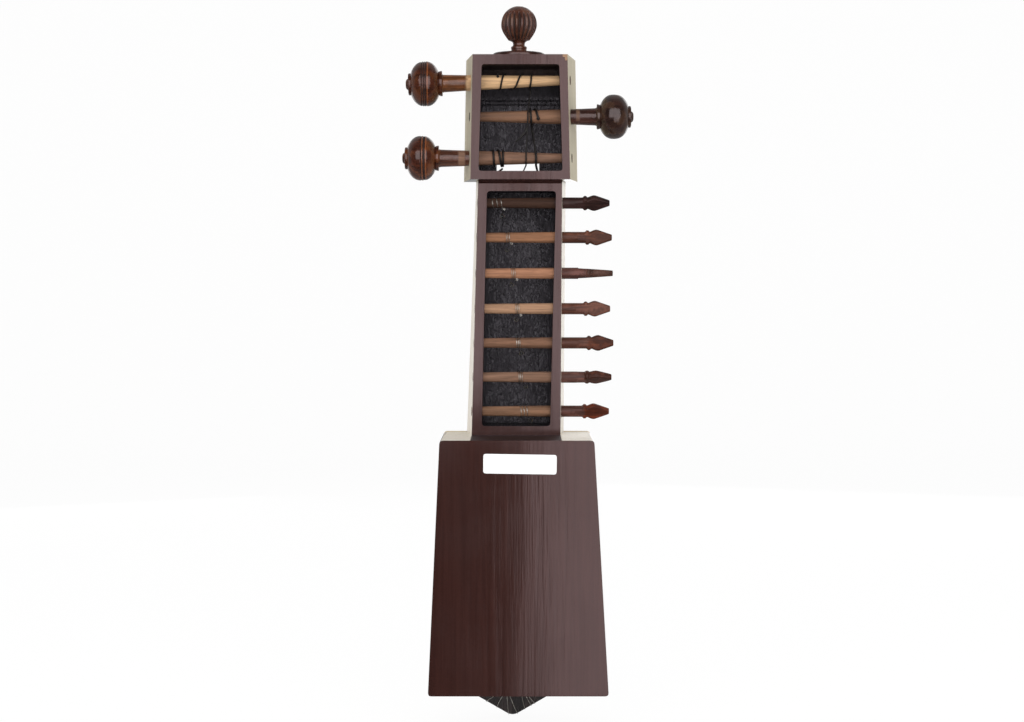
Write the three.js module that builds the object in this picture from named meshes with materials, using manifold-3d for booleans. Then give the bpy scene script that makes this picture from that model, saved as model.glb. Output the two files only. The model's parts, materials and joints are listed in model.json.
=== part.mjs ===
// Small folk sarangi: one carved block with a hollow belly, a neck and a peg box, three gut
// strings on turned pegs, seven sympathetic wires on spear-headed pegs.
// X runs to the right of a viewer behind the instrument, Y towards the playing side, Z up.
// The origin is the middle of the belly's flat foot. Lengths are millimetres.
import * as THREE from 'three';
import { mergeVertices } from 'three/addons/utils/BufferGeometryUtils.js';
import Module from 'manifold-3d';

const wasm = await Module();
wasm.setup();

// Fits shared by many pieces
const clearance = 0.3;
const stringClearance = 0.5;
const overrun = 1;
const turn = 2 * Math.PI;
const mix = THREE.MathUtils.lerp;

// Belly
const belly = {
  depth: 117, height: 218.5, bottomWidth: 154.3, topWidth: 131.8, topShift: -1.2,
  cornerRadius: 3, backWall: 9, sideWall: 9, footWall: 14, shoulderWall: 12,
};
const frontY = belly.depth / 2;
const backY = -belly.depth / 2;

// Neck and peg box. Each edge is [left, right] of the middle plane, at the foot and the top of the
// back and the front face. Each chamber's walls are [left, right], at its foot and its top.
const neck = {
  rise: 222, depth: 54, boardThickness: 6, footBar: 8, topBar: 7.6, chamberCorner: 3,
  backFoot: [-41, 37.1], backTop: [-35.1, 38.4], frontFoot: [-46.3, 40.8], frontTop: [-37.8, 42.6],
  footWalls: [8.9, 9.1], topWalls: [7.6, 5.3],
};
const head = {
  rise: 109, depth: 59, boardThickness: 6.5, footBar: 7.3, topBar: 8.6, chamberCorner: 2.5,
  backFoot: [-41.9, 45.3], backTop: [-39.9, 42.9], frontFoot: [-48.9, 53.2], frontTop: [-46.8, 51.3],
  footWalls: [7.1, 6.6], topWalls: [7.9, 7.1],
};
const headGroove = 3.2;
const headJoint = 2.5;
neck.footZ = belly.height;
neck.topZ = neck.footZ + neck.rise;
head.footZ = neck.topZ + headJoint;
head.topZ = head.footZ + head.rise;
const stringSlot = { shift: -0.3, width: 38.2, height: 11.7 };

// Parchment, strap and what stands on them
const parchment = { thickness: 0.9, lap: 14, rebate: 1.2 };
const strap = { thickness: 2, width: 32, fold: 16 };
const bridge = {
  z: 86, shift: -1.5, thickness: 7, height: 22, footSpan: 66, footWidth: 12, archRise: 7.5,
  crownWidth: 40, waist: 5, holeHeight: 12.5, holeRadius: 0.9, holePitch: 4.7,
};
const nut = { fromTop: 2.5, span: 60, thickness: 6, height: 8.2, endRadius: 2 };
nut.z = neck.topZ - nut.fromTop;
const parchmentFrontY = frontY + clearance + parchment.thickness;
const strapFrontY = parchmentFrontY + clearance + strap.thickness;
const bridgeFootY = strapFrontY + clearance;

// Tail plate, its nails and the two wire pins behind it, which are placed by shares of the plate's
// half width and of the depth of its point
const tail = {
  shift: -5.2, halfWidth: 42, thickness: 5, topZ: 28, shoulderZ: -16.2, tipZ: -40.4,
  cornerRadius: 3, tipRadius: 6, holeZ: -4, nailZ: 7,
};
const nail = { radius: 1.1, shank: 16, headRadius: 2.8, headHeight: 1.5, pitch: 31 };
const wirePin = { radius: 1.2, shank: 10, seat: 4, headRadius: 2.1, headHeight: 1 };
const wirePinShares = [{ across: -0.174, down: 0.361 }, { across: 0.095, down: 0.25 }];
const wirePinPlaces = wirePinShares.map(({ across, down }) => (
  { x: tail.shift + tail.halfWidth * across, z: tail.tipZ * down }
));
const tailBackY = parchmentFrontY + clearance;
const tailFrontY = tailBackY + tail.thickness;

// Turned pegs of the three gut strings. The knob is on the left for side -1, on the right for 1.
// Their places are shares of the peg box: up from its foot, and forward from its back face.
const knob = {
  tipRadius: 5.2, tipHeight: 2.3, capRadius: 9.75, capHeight: 2.5, radius: 19.75, width: 24.6,
  flangeRadius: 11.25, flangeHeight: 3, edge: 0.6,
};
const knobSides = 20;
const shaft = {
  stand: 24.4, collarRadius: 7.75, wallRadius: 6.7, tipRadius: 3.9, tipInset: 0.6, boreRadius: 1.4,
};
const mainPegShares = [
  { name: 'upper_left', side: -1, up: 0.7936, forward: 0.2881, stand: 1, tilt: 0.0252 },
  { name: 'right', side: 1, up: 0.511, forward: 0.3136, stand: 0.925, tilt: 0 },
  { name: 'lower_left', side: -1, up: 0.1761, forward: 0.3136, stand: 1.074, tilt: 0 },
];

// Spear-headed pegs of the sympathetic wires, all with the head on the right. The heights are shares
// of the neck from its foot, reach is a share of the spear's, and wind and pitch place the wire.
const spear = {
  fromFront: 44.5, reach: 43.1, wallRadius: 5, tipRadius: 4.1, waistRadius: 5, beadRadius: 6.4,
  beadWidth: 1.8, bladeRadius: 7.2, pointRadius: 2.6, flatStart: 4.7, flatEnd: 2.5, tipInset: 0.3,
  blade: 13.5, throat: 19.4, bead: 21.6, waist: 23.5, flats: 32.2,
};
const spearSides = 12;
spear.y = frontY - spear.fromFront;
const spearPegShares = [
  { up: 0.9194, reach: 0.96, turned: 33, wind: -0.542, pitch: 2.8 },
  { up: 0.7829, reach: 1.011, turned: 0, wind: -0.305, pitch: 1 },
  { up: 0.641, reach: 1.035, turned: 90, wind: -0.119, pitch: 1 },
  { up: 0.5005, reach: 0.987, turned: 0, wind: 0.02, pitch: 1 },
  { up: 0.3644, reach: 1.058, turned: 5, wind: 0.068, pitch: 1 },
  { up: 0.2284, reach: 1.024, turned: 58, wind: 0.157, pitch: 1 },
  { up: 0.0928, reach: 0.977, turned: 20, wind: 0.334, pitch: 1.9 },
];

// Gut strings, in the order of the pegs. Windings and lanes are shares of the peg box's half width.
// A lane is where the string passes its own peg, each peg below, and the slot. A string of hand 1 goes
// down past the viewer's side of its peg, one of hand -1 goes up there. It leaves the peg at a share of
// a turn past that side. Its advance along the peg is even, or eased at its end, or at both ends.
const gut = [
  { name: 'first', radius: 0.65 },
  { name: 'second', radius: 1 },
  { name: 'third', radius: 0.85 },
];
const gutShares = [
  { from: -0.574, to: 0.298, turns: 3.5, hand: -1, leave: 0.56, advance: 'eased', nutStep: 0 },
  { from: 0.413, to: 0.25, turns: 1.56, hand: -1, leave: 0.56, advance: 'settling', nutStep: 1 },
  { from: -0.767, to: -0.424, turns: 3.25, hand: 1, leave: 0.25, advance: 'eased', nutStep: -1 },
];
const gutLanes = [[0.269, 0.19, 0.142, 0.072], [0.263, 0.388, 0.436], [-0.446, -0.54]];
const advances = {
  even: (share) => share,
  settling: (share) => 1 - (1 - share) ** 2,
  eased: (share) => THREE.MathUtils.smootherstep(share, 0, 1),
};
const gutSpacing = { nut: 13.9, bridge: 13.5, tail: 14 };
const gutShift = { nut: 2.4, bridge: -1.5, tail: -6 };
const gutKnotRadius = 2.4;
const slotRise = 2.2;
const slotExit = 2;
const gutLoop = { steps: 24, sides: 6 };

// Sympathetic wires and the bone eyelets that lead them through the neck board
const wire = { radius: 0.25, pitch: 1.4, level: 0.95 };
const wireTurns = 2.6;
const hookTurns = 0.6;
const wireLoop = { steps: 12, sides: 4 };
const eyelet = {
  drop: 10.5, radius: 1.6, boreRadius: 0.8, lipRadius: 2.6, lipHeight: 1.2, firstX: -14.5, pitch: 4.3,
};
const eyeletSides = 10;
const wireEdgeShares = [-0.562, -0.34, -0.083, 0.11, 0.267, 0.405, 0.481];

// Finial
const finial = {
  shift: 0.6, fromFront: 29.5, discRadius: 23.4, discHeight: 3.7, collarRadius: 6.9, collarHeight: 5,
  neckRadius: 4.9, neckTop: 10.7, footRadius: 9.3, ballRadius: 15.95, ballMiddle: 24.3, ballTop: 41,
  tenonRadius: 4, tenonDepth: 6, fluteDepth: 1.1, capTop: 37.5,
};
const fluteCount = 20;
finial.y = frontY - finial.fromFront;

// Finishes: colour, roughness and metalness
const finishes = {
  lacquer: [0x4a2a28, 0.25, 0], parchment: [0xd9cba8, 0.6, 0], leather: [0x5a3520, 0.65, 0],
  bone: [0xe8dfc8, 0.4, 0], ebony: [0x2a1f1f, 0.3, 0], turned: [0x5a2a16, 0.2, 0],
  gut: [0x16120f, 0.45, 0], steel: [0xc8c8c8, 0.3, 1], brass: [0xb08a45, 0.35, 1],
};

function finish(name) {
  const [color, roughness, metalness] = finishes[name];
  return new THREE.MeshStandardMaterial({ name, color, roughness, metalness });
}

// A closed geometry as a solid, without the slivers that close a turned profile on its axis
function solidOf(geometry) {
  const bare = geometry.clone();
  for (const attribute of Object.keys(bare.attributes)) {
    if (attribute !== 'position') bare.deleteAttribute(attribute);
  }
  const merged = mergeVertices(bare, 1e-4);
  const index = merged.index.array;
  const triVerts = [];
  for (let i = 0; i < index.length; i += 3) {
    const [a, b, c] = [index[i], index[i + 1], index[i + 2]];
    if (a !== b && b !== c && c !== a) triVerts.push(a, b, c);
  }
  const vertProperties = new Float32Array(merged.attributes.position.array);
  return new wasm.Manifold(new wasm.Mesh({
    numProp: 3, vertProperties, triVerts: new Uint32Array(triVerts),
  }));
}

function geometryOf(solid) {
  const { vertProperties, triVerts } = solid.getMesh();
  const geometry = new THREE.BufferGeometry();
  geometry.setAttribute('position', new THREE.BufferAttribute(vertProperties, 3));
  geometry.setIndex(new THREE.BufferAttribute(triVerts, 1));
  geometry.computeVertexNormals();
  return geometry;
}

function piece(name, solid, finishName) {
  const mesh = new THREE.Mesh(geometryOf(solid), finish(finishName));
  mesh.name = name;
  return mesh;
}

// An outline through its corners, each rounded by the given radius
function roundedShape(corners, radius) {
  const shape = new THREE.Shape();
  corners.forEach((corner, i) => {
    const here = new THREE.Vector2(corner[0], corner[1]);
    const before = new THREE.Vector2(...corners.at(i - 1).slice(0, 2)).sub(here).normalize();
    const after = new THREE.Vector2(...corners[(i + 1) % corners.length].slice(0, 2)).sub(here).normalize();
    const reach = corner[2] ?? radius;
    const enter = here.clone().addScaledVector(before, reach);
    const leave = here.clone().addScaledVector(after, reach);
    if (i === 0) shape.moveTo(enter.x, enter.y);
    else shape.lineTo(enter.x, enter.y);
    shape.quadraticCurveTo(here.x, here.y, leave.x, leave.y);
  });
  shape.closePath();
  return shape;
}

// An outline in X and Z, carried from one depth to another
function slab(shape, fromY, toY, curveSegments = 3) {
  const depth = toY - fromY;
  const geometry = new THREE.ExtrudeGeometry(shape, { depth, bevelEnabled: false, curveSegments });
  geometry.rotateX(Math.PI / 2);
  geometry.translate(0, toY, 0);
  return solidOf(geometry);
}

// An outline in X and Y, carried from one height to another
function bar(shape, fromZ, toZ, curveSegments = 4) {
  const depth = toZ - fromZ;
  const geometry = new THREE.ExtrudeGeometry(shape, { depth, bevelEnabled: false, curveSegments });
  geometry.translate(0, 0, fromZ);
  return solidOf(geometry);
}

function box(fromX, toX, fromY, toY, fromZ, toZ) {
  const geometry = new THREE.BoxGeometry(toX - fromX, toY - fromY, toZ - fromZ);
  geometry.translate((fromX + toX) / 2, (fromY + toY) / 2, (fromZ + toZ) / 2);
  return solidOf(geometry);
}

// A block whose left and right edges differ between foot and top, and between back and front
function taperedBlock(edges, fromY, toY, fromZ, toZ) {
  const geometry = new THREE.BoxGeometry(2, 2, 2);
  const place = geometry.attributes.position;
  for (let i = 0; i < place.count; i += 1) {
    const isFront = place.getY(i) > 0;
    const isTop = place.getZ(i) > 0;
    const row = edges[isFront ? 1 : 0][isTop ? 1 : 0];
    place.setXYZ(i, row[place.getX(i) > 0 ? 1 : 0], isFront ? toY : fromY, isTop ? toZ : fromZ);
  }
  return solidOf(geometry);
}

// A profile of [radius, distance] turned about the X axis
function turnedAlongX(profile, sides) {
  const points = profile.map(([radius, x]) => new THREE.Vector2(radius, x));
  const geometry = new THREE.LatheGeometry(points, sides);
  geometry.rotateZ(-Math.PI / 2);
  return solidOf(geometry);
}

// A profile of [radius, distance] turned about the Y axis
function roundAlongY(profile, sides) {
  const points = profile.map(([radius, y]) => new THREE.Vector2(radius, y));
  return solidOf(new THREE.LatheGeometry(points, sides));
}

// A round hole along Y
function pinHole(x, z, radius, fromY, toY) {
  const profile = [[0, fromY], [radius, fromY], [radius, toY], [0, toY]];
  return roundAlongY(profile, eyeletSides).translate([x, 0, z]);
}

// A route whose rings fall on its own points, each square to the bend there
class StringRoute extends THREE.Curve {
  constructor(points) {
    super();
    this.points = points;
  }

  getUtoTmapping(u) {
    return u;
  }

  getPoint(t, target = new THREE.Vector3()) {
    const place = t * (this.points.length - 1);
    const from = Math.min(Math.floor(place), this.points.length - 2);
    return target.lerpVectors(this.points[from], this.points[from + 1], place - from);
  }

  getTangent(t, target = new THREE.Vector3()) {
    const last = this.points.length - 1;
    const at = Math.round(t * last);
    const arriving = new THREE.Vector3();
    const leaving = new THREE.Vector3();
    if (at > 0) arriving.subVectors(this.points[at], this.points[at - 1]).normalize();
    if (at < last) leaving.subVectors(this.points[at + 1], this.points[at]).normalize();
    return target.addVectors(arriving, leaving).normalize();
  }
}

function stringSolid(points, radius, sides) {
  const ring = [];
  for (let i = 0; i < sides; i += 1) {
    const angle = (turn * i) / sides;
    ring.push(new THREE.Vector2(radius * Math.cos(angle), radius * Math.sin(angle)));
  }
  return solidOf(new THREE.ExtrudeGeometry(new THREE.Shape(ring), {
    steps: points.length - 1, bevelEnabled: false, extrudePath: new StringRoute(points),
  }));
}

const at = (x, y, z) => new THREE.Vector3(x, y, z);

// Left (-1) or right (1) edge of the belly at a height, moved out by grow
function bellyEdge(side, z, grow = 0) {
  const foot = (side * belly.bottomWidth) / 2;
  const top = belly.topShift + (side * belly.topWidth) / 2;
  const slope = (top - foot) / belly.height;
  return foot + slope * z + side * grow * Math.hypot(1, slope);
}

function bellyOutline(grow, foot = grow, top = grow) {
  const low = -foot;
  const high = belly.height + top;
  return roundedShape([
    [bellyEdge(-1, low, grow), low], [bellyEdge(1, low, grow), low],
    [bellyEdge(1, high, grow), high], [bellyEdge(-1, high, grow), high],
  ], belly.cornerRadius);
}

// Left or right edge of the neck or the peg box at a height and a depth
function blockEdge(block, side, y, z) {
  const column = side < 0 ? 0 : 1;
  const up = (z - block.footZ) / block.rise;
  const forward = 1 - (frontY - y) / block.depth;
  const back = mix(block.backFoot[column], block.backTop[column], up);
  const front = mix(block.frontFoot[column], block.frontTop[column], up);
  return mix(back, front, forward);
}

const neckEdge = (side, y, z) => blockEdge(neck, side, y, z);
const headEdge = (side, y, z) => blockEdge(head, side, y, z);

// Left and right side of a chamber's mouth at its foot or its top
const chamberFoot = (block) => block.backFoot.map((edge, i) => edge + (i ? -1 : 1) * block.footWalls[i]);
const chamberTop = (block) => block.backTop.map((edge, i) => edge + (i ? -1 : 1) * block.topWalls[i]);

function chamberOutline(block) {
  const [footLeft, footRight] = chamberFoot(block);
  const [topLeft, topRight] = chamberTop(block);
  const low = block.footZ + block.footBar;
  const high = block.topZ - block.topBar;
  return roundedShape(
    [[footLeft, low], [footRight, low], [topRight, high], [topLeft, high]],
    block.chamberCorner,
  );
}

// A place across a chamber at a share of its height, from -1 at its left wall to 1 at its right
function acrossChamber(block, up, share) {
  const left = mix(chamberFoot(block)[0], chamberTop(block)[0], up);
  const right = mix(chamberFoot(block)[1], chamberTop(block)[1], up);
  return mix(left, right, (1 + share) / 2);
}

const mainPegs = mainPegShares.map((peg) => {
  const y = frontY - head.depth * (1 - peg.forward);
  const z = head.footZ + head.rise * peg.up;
  const nearWall = Math.abs(headEdge(peg.side, y, z));
  const farWall = Math.abs(headEdge(-peg.side, y, z));
  return { ...peg, y, z, nearWall, farWall, flange: nearWall + shaft.stand * peg.stand };
});

const spearPegs = spearPegShares.map((peg) => {
  const z = neck.footZ + neck.rise * peg.up;
  const left = neckEdge(-1, spear.y, z);
  const right = neckEdge(1, spear.y, z);
  return {
    ...peg, z, left, right, point: right + spear.reach * peg.reach,
    windX: acrossChamber(neck, peg.up, peg.wind), windPitch: wire.pitch * peg.pitch,
  };
});

const gutPlaces = gut.map((string, i) => {
  const shares = gutShares[i];
  const across = (share) => acrossChamber(head, mainPegShares[i].up, share);
  const from = across(shares.from);
  const to = across(shares.to);
  return { ...string, ...shares, from, to, lanes: gutLanes[i].map(across) };
});

// Pegs. Each is turned about X in its own frame, whose middle lies at x = 0 of the instrument.

// Radius of a main peg's shaft at a place along X: it narrows from the flange to the near wall,
// and then on to its tip in the far wall
function shaftRadius(peg, x) {
  const along = x * -peg.side;
  const tip = peg.farWall - shaft.tipInset;
  if (along < -peg.nearWall) {
    return mix(shaft.collarRadius, shaft.wallRadius, (along + peg.flange) / (peg.flange - peg.nearWall));
  }
  return mix(shaft.wallRadius, shaft.tipRadius, (along + peg.nearWall) / (tip + peg.nearWall));
}

// Half outline of the knob from its small tip, over its cap and its full round, to the flange
function knobProfile(peg) {
  const flange = -peg.flange;
  const back = flange - knob.flangeHeight;
  const front = back - knob.width;
  const cap = front - knob.capHeight;
  const end = cap - knob.tipHeight;
  const steps = 8;
  const round = [];
  for (let i = 0; i <= steps; i += 1) {
    const share = i / steps;
    const swell = Math.sqrt(1 - 0.72 * Math.abs(2 * share - 1) ** 2.4);
    round.push([knob.radius * swell, mix(front, back, share)]);
  }
  return [
    [0, end], [knob.tipRadius - knob.edge, end], [knob.tipRadius, end + knob.edge], [knob.tipRadius, cap],
    [knob.capRadius - knob.edge, cap], [knob.capRadius, cap + knob.edge], [knob.capRadius, front],
    ...round,
    [knob.flangeRadius, back], [knob.flangeRadius, flange],
  ];
}

// Turns a profile made for a knob on the left round to the peg's own side
const toSide = (peg, solid) => (peg.side < 0 ? solid : solid.rotate([0, 180, 0]));

// Across the shaft, beside the first turn of its winding, goes the hole that the string starts from
function mainPegSolid(peg, string) {
  const tip = peg.farWall - shaft.tipInset;
  const boreX = string.from + Math.sign(string.from - string.to) * (shaft.boreRadius + string.radius);
  const profile = [
    ...knobProfile(peg), [shaft.collarRadius, -peg.flange], [shaft.wallRadius, -peg.nearWall],
    [shaft.tipRadius, tip], [0, tip],
  ];
  const bore = pinHole(boreX, 0, shaft.boreRadius, -shaft.wallRadius - overrun, shaft.wallRadius + overrun);
  return toSide(peg, turnedAlongX(profile, knobSides)).subtract(bore);
}

// The tapered hole that a main peg turns in, through both walls of the peg box
function mainPegHole(peg) {
  const near = -peg.nearWall - headGroove;
  const far = peg.farWall + headGroove;
  const profile = [
    [0, near], [shaftRadius(peg, -near * peg.side) + clearance, near],
    [shaftRadius(peg, -far * peg.side) + clearance, far], [0, far],
  ];
  const hole = toSide(peg, turnedAlongX(profile, knobSides));
  return hole.rotate([0, THREE.MathUtils.radToDeg(-peg.tilt), 0]).translate([0, peg.y, peg.z]);
}

// Radius of a sympathetic peg's shaft at a place along X
function spearRadius(peg, x) {
  return mix(spear.tipRadius, spear.wallRadius, (x - peg.left) / (peg.right - peg.left));
}

// A turned profile with a bead and a blade, planed flat on two faces from the flats to the point
function spearPegSolid(peg) {
  const left = peg.left + spear.tipInset;
  const halfBead = spear.beadWidth / 2;
  const flats = peg.point - spear.flats;
  const bead = peg.point - spear.bead;
  const profile = [
    [0, left], [spear.tipRadius, left], [spear.wallRadius, peg.right], [spear.wallRadius, flats],
    [spear.waistRadius, peg.point - spear.waist], [spear.beadRadius, bead - halfBead],
    [spear.beadRadius, bead + halfBead], [spear.waistRadius, peg.point - spear.throat],
    [spear.bladeRadius, peg.point - spear.blade], [spear.pointRadius, peg.point], [0, peg.point],
  ];
  const wide = spear.bladeRadius + overrun;
  const planed = new THREE.Shape([
    new THREE.Vector2(left - overrun, -wide), new THREE.Vector2(flats, -wide),
    new THREE.Vector2(flats, -spear.flatStart), new THREE.Vector2(peg.point, -spear.flatEnd),
    new THREE.Vector2(peg.point, spear.flatEnd), new THREE.Vector2(flats, spear.flatStart),
    new THREE.Vector2(flats, wide), new THREE.Vector2(left - overrun, wide),
  ]);
  const solid = turnedAlongX(profile, spearSides).intersect(bar(planed, -wide, wide));
  return solid.rotate([peg.turned, 0, 0]);
}

function spearPegHole(peg) {
  const left = peg.left - headGroove;
  const right = peg.right + headGroove;
  const profile = [
    [0, left], [spearRadius(peg, left) + clearance, left],
    [spearRadius(peg, right) + clearance, right], [0, right],
  ];
  return turnedAlongX(profile, spearSides).translate([0, spear.y, peg.z]);
}

// Windings

function windingPoints({ radiusAt, stringRadius, from, to, turns, hand, leave, advance, steps }) {
  const count = Math.round(turns * steps);
  const points = [];
  for (let i = 0; i <= count; i += 1) {
    const share = i / count;
    const x = mix(from, to, advances[advance](share));
    const radius = radiusAt(x) + clearance + stringRadius;
    const angle = turn * (turns * share - turns + leave);
    points.push(at(x, -radius * Math.cos(angle), -hand * radius * Math.sin(angle)));
  }
  return points;
}

// Least distance between the skins of two turns, taken over points half a turn or more apart
function leastSelfGap(points, stringRadius, steps) {
  let least = Infinity;
  for (let i = 0; i < points.length; i += 1) {
    for (let j = i + Math.round(steps / 2); j < points.length; j += 1) {
      least = Math.min(least, points[i].distanceTo(points[j]) - 2 * stringRadius);
    }
  }
  return least;
}

function windingPiece(name, plan, finishName, sides) {
  const points = windingPoints(plan);
  const gap = leastSelfGap(points, plan.stringRadius, plan.steps);
  console.log(`${name}: least gap between its turns ${gap.toFixed(2)} mm`);
  return piece(name, stringSolid(points, plan.stringRadius, sides), finishName);
}

function mainPegGroup(peg, string) {
  const group = new THREE.Group();
  group.position.set(0, peg.y, peg.z);
  group.rotation.y = -peg.tilt;
  group.add(piece(`peg_${peg.name}`, mainPegSolid(peg, string), 'turned'));
  group.add(windingPiece(`winding_${string.name}`, {
    ...string, radiusAt: (x) => shaftRadius(peg, x), stringRadius: string.radius, steps: gutLoop.steps,
  }, 'gut', gutLoop.sides));
  return group;
}

function spearPegGroup(peg, number) {
  const group = new THREE.Group();
  group.position.set(0, spear.y, peg.z);
  group.add(piece(`sympathetic_peg_${number}`, spearPegSolid(peg), 'turned'));
  group.add(windingPiece(`wire_winding_${number}`, {
    radiusAt: (x) => spearRadius(peg, x), stringRadius: wire.radius, turns: wireTurns,
    from: peg.windX - peg.windPitch * wireTurns, to: peg.windX, hand: 1, leave: 0.2, advance: 'even',
    steps: wireLoop.steps,
  }, 'steel', wireLoop.sides));
  return group;
}

// Strings. Each free string starts just outside the sweep of its winding.

const wireStandoff = clearance + wire.radius;
const eyeletX = (i) => eyelet.firstX + eyelet.pitch * i;
const eyeletZ = (peg) => peg.z - eyelet.drop;
const nutTopY = frontY + clearance + nut.height;
const bridgeTopY = bridgeFootY + bridge.height;
const gutX = (place, string) => gutShift[place] + gutSpacing[place] * string.nutStep;

function gutTailPoints(string) {
  const tailX = gutX('tail', string);
  const gutEntry = string.radius + stringClearance;
  const nutReach = nut.thickness / 2 + stringClearance;
  const bridgeReach = bridge.thickness / 2 + stringClearance;
  return [
    at(gutX('nut', string), nutTopY, nut.z + nutReach),
    at(gutX('nut', string), nutTopY, nut.z - nutReach),
    at(gutX('bridge', string), bridgeTopY, bridge.z + bridgeReach),
    at(gutX('bridge', string), bridgeTopY, bridge.z - bridgeReach),
    at(tailX, tailFrontY + 2 * gutEntry, tail.holeZ + gutEntry),
    at(tailX, tailFrontY, tail.holeZ),
    at(tailX, tailBackY - clearance - gutKnotRadius, tail.holeZ),
  ];
}

// Points round a peg, from one share of a turn to another, counted down past its viewer's side
function roundPeg(peg, x, standoff, fromShare, toShare, steps) {
  const points = [];
  for (let i = 0; i <= steps; i += 1) {
    const angle = turn * mix(fromShare, toShare, i / steps);
    const radius = shaftRadius(peg, x) + standoff;
    const lift = Math.tan(peg.tilt) * x;
    points.push(at(x, peg.y - radius * Math.cos(angle), peg.z + lift - radius * Math.sin(angle)));
  }
  return points;
}

function gutSolid(points, string) {
  const knot = new THREE.IcosahedronGeometry(gutKnotRadius, 1);
  const end = points.at(-1);
  knot.translate(end.x, end.y, end.z);
  return stringSolid(points, string.radius, gutLoop.sides).add(solidOf(knot));
}

function gutStrings() {
  const [first, second, third] = gutPlaces;
  const [upper, right, lower] = mainPegs;
  const outside = (string) => 2 * clearance + 3 * string.radius + stringClearance;
  const beside = (string) => stringClearance + string.radius;
  // From and to a share of a turn round the peg, in a number of steps
  const leaveBehindShares = [0.5, 0.44, 2];
  const leaveBelowShares = [0.24, 0.25, 1];
  const besideShares = [-0.07, 0.01, 2];
  const underShares = [-0.06, 0.235, 6];
  const slot = (x) => at(x, frontY + slotExit, head.footZ + head.footBar + slotRise);
  const routes = [
    [
      ...roundPeg(upper, first.lanes[0], outside(first), ...leaveBehindShares),
      ...roundPeg(right, first.lanes[1], beside(first), ...besideShares),
      ...roundPeg(lower, first.lanes[2], beside(first), ...underShares),
      slot(first.lanes[3]),
    ],
    [
      ...roundPeg(right, second.lanes[0], outside(second), ...leaveBehindShares),
      ...roundPeg(lower, second.lanes[1], beside(second), ...underShares),
      slot(second.lanes[2]),
    ],
    [
      ...roundPeg(lower, third.lanes[0], outside(third), ...leaveBelowShares),
      slot(third.lanes[1]),
    ],
  ];
  return gutPlaces.map((string, i) => {
    const points = [...routes[i], ...gutTailPoints(string)];
    return piece(`gut_string_${string.name}`, gutSolid(points, string), 'gut');
  });
}

// Height of the tail plate's V edge at a place along X
function tailEdgeZ(x) {
  const out = Math.abs(x - tail.shift) / tail.halfWidth;
  const straight = mix(tail.tipZ, tail.shoulderZ, out);
  const rounded = tail.tipZ + tail.tipRadius * 0.25;
  return Math.max(straight, rounded);
}

// A wire from its peg through its eyelet and the bridge, over the V edge to a pin behind the plate
function wirePoints(i) {
  const peg = spearPegs[i];
  const x = eyeletX(i);
  const z = eyeletZ(peg);
  const step = wireStandoff;
  const windRadius = spearRadius(peg, peg.windX) + 3 * step;
  const boardY = frontY - neck.boardThickness;
  const lipY = frontY + clearance + eyelet.lipHeight + step;
  const bridgeX = bridge.shift + (i - 3) * bridge.holePitch;
  const edgeX = tail.shift + tail.halfWidth * wireEdgeShares[i];
  const edgeZ = tailEdgeZ(edgeX) - 1.4 * step;
  const isLeft = i < 4;
  const pin = wirePinPlaces[isLeft ? 0 : 1];
  const level = tailBackY - step - wire.level * (isLeft ? i : i - 4);
  const hookRadius = wirePin.radius + step;
  const away = Math.atan2(edgeZ - pin.z, edgeX - pin.x) + Math.PI * 0.55;
  const hookSteps = 5;
  const hook = [];
  for (let k = 0; k <= hookSteps; k += 1) {
    const angle = away - (turn * hookTurns * k) / hookSteps;
    hook.push(at(pin.x + hookRadius * Math.cos(angle), level, pin.z + hookRadius * Math.sin(angle)));
  }
  return [
    at(peg.windX, spear.y + 2 * step, peg.z - windRadius),
    at(x, boardY - eyelet.boreRadius - step, z + eyelet.boreRadius),
    at(x, boardY + step, z),
    at(x, lipY - step, z),
    at(x, lipY + step / 3, z - step),
    at(x, lipY + 0.6 * step, z - 3 * step),
    at(bridgeX, bridgeFootY + bridge.holeHeight, bridge.z),
    at(edgeX, tailFrontY + step, edgeZ + 4 * step),
    at(edgeX, tailFrontY + step / 3, edgeZ + step / 2),
    at(edgeX, (tailFrontY + tailBackY) / 2, edgeZ - step / 4),
    at(edgeX, tailBackY - step / 3, edgeZ + step / 2),
    at(mix(edgeX, pin.x, 0.15), level, mix(edgeZ, pin.z, 0.15) + step),
    ...hook,
  ];
}

// The carved block

function neckBlock() {
  return taperedBlock(
    [[neck.backFoot, neck.backTop], [neck.frontFoot, neck.frontTop]],
    frontY - neck.depth, frontY, neck.footZ - overrun, head.footZ + overrun,
  );
}

function headBlock() {
  return taperedBlock(
    [[head.backFoot, head.backTop], [head.frontFoot, head.frontTop]],
    frontY - head.depth, frontY, head.footZ, head.topZ,
  );
}

// The groove that parts the neck from the peg box on the back
function headGrooveCut() {
  const geometry = new THREE.BoxGeometry(belly.bottomWidth, headGroove, headGroove);
  geometry.rotateX(Math.PI / 4);
  geometry.translate(0, frontY - neck.depth, (neck.topZ + head.footZ) / 2);
  return solidOf(geometry);
}

// The slot at the foot of the peg box's front board, through which the gut strings leave
function stringSlotCut() {
  const left = stringSlot.shift - stringSlot.width / 2;
  const foot = head.footZ + head.footBar;
  return box(
    left, left + stringSlot.width, frontY - head.boardThickness - overrun, frontY + overrun,
    foot, foot + stringSlot.height,
  );
}

function neckRootGap(margin) {
  return box(
    neck.frontFoot[0] - margin, neck.frontFoot[1] + margin, frontY - belly.depth, frontY + margin,
    belly.height - parchment.rebate - margin - overrun, belly.height + overrun,
  );
}

// The step round the front rim in which the parchment's lap lies flush
function parchmentRebate() {
  const ring = slab(bellyOutline(overrun), frontY - parchment.lap, frontY + overrun)
    .subtract(slab(bellyOutline(-parchment.rebate), frontY - parchment.lap - overrun, frontY + 2 * overrun));
  return ring.subtract(neckRootGap(0));
}

const nailPlaces = [-1, 0, 1].map((step) => tail.shift + step * nail.pitch);

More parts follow.
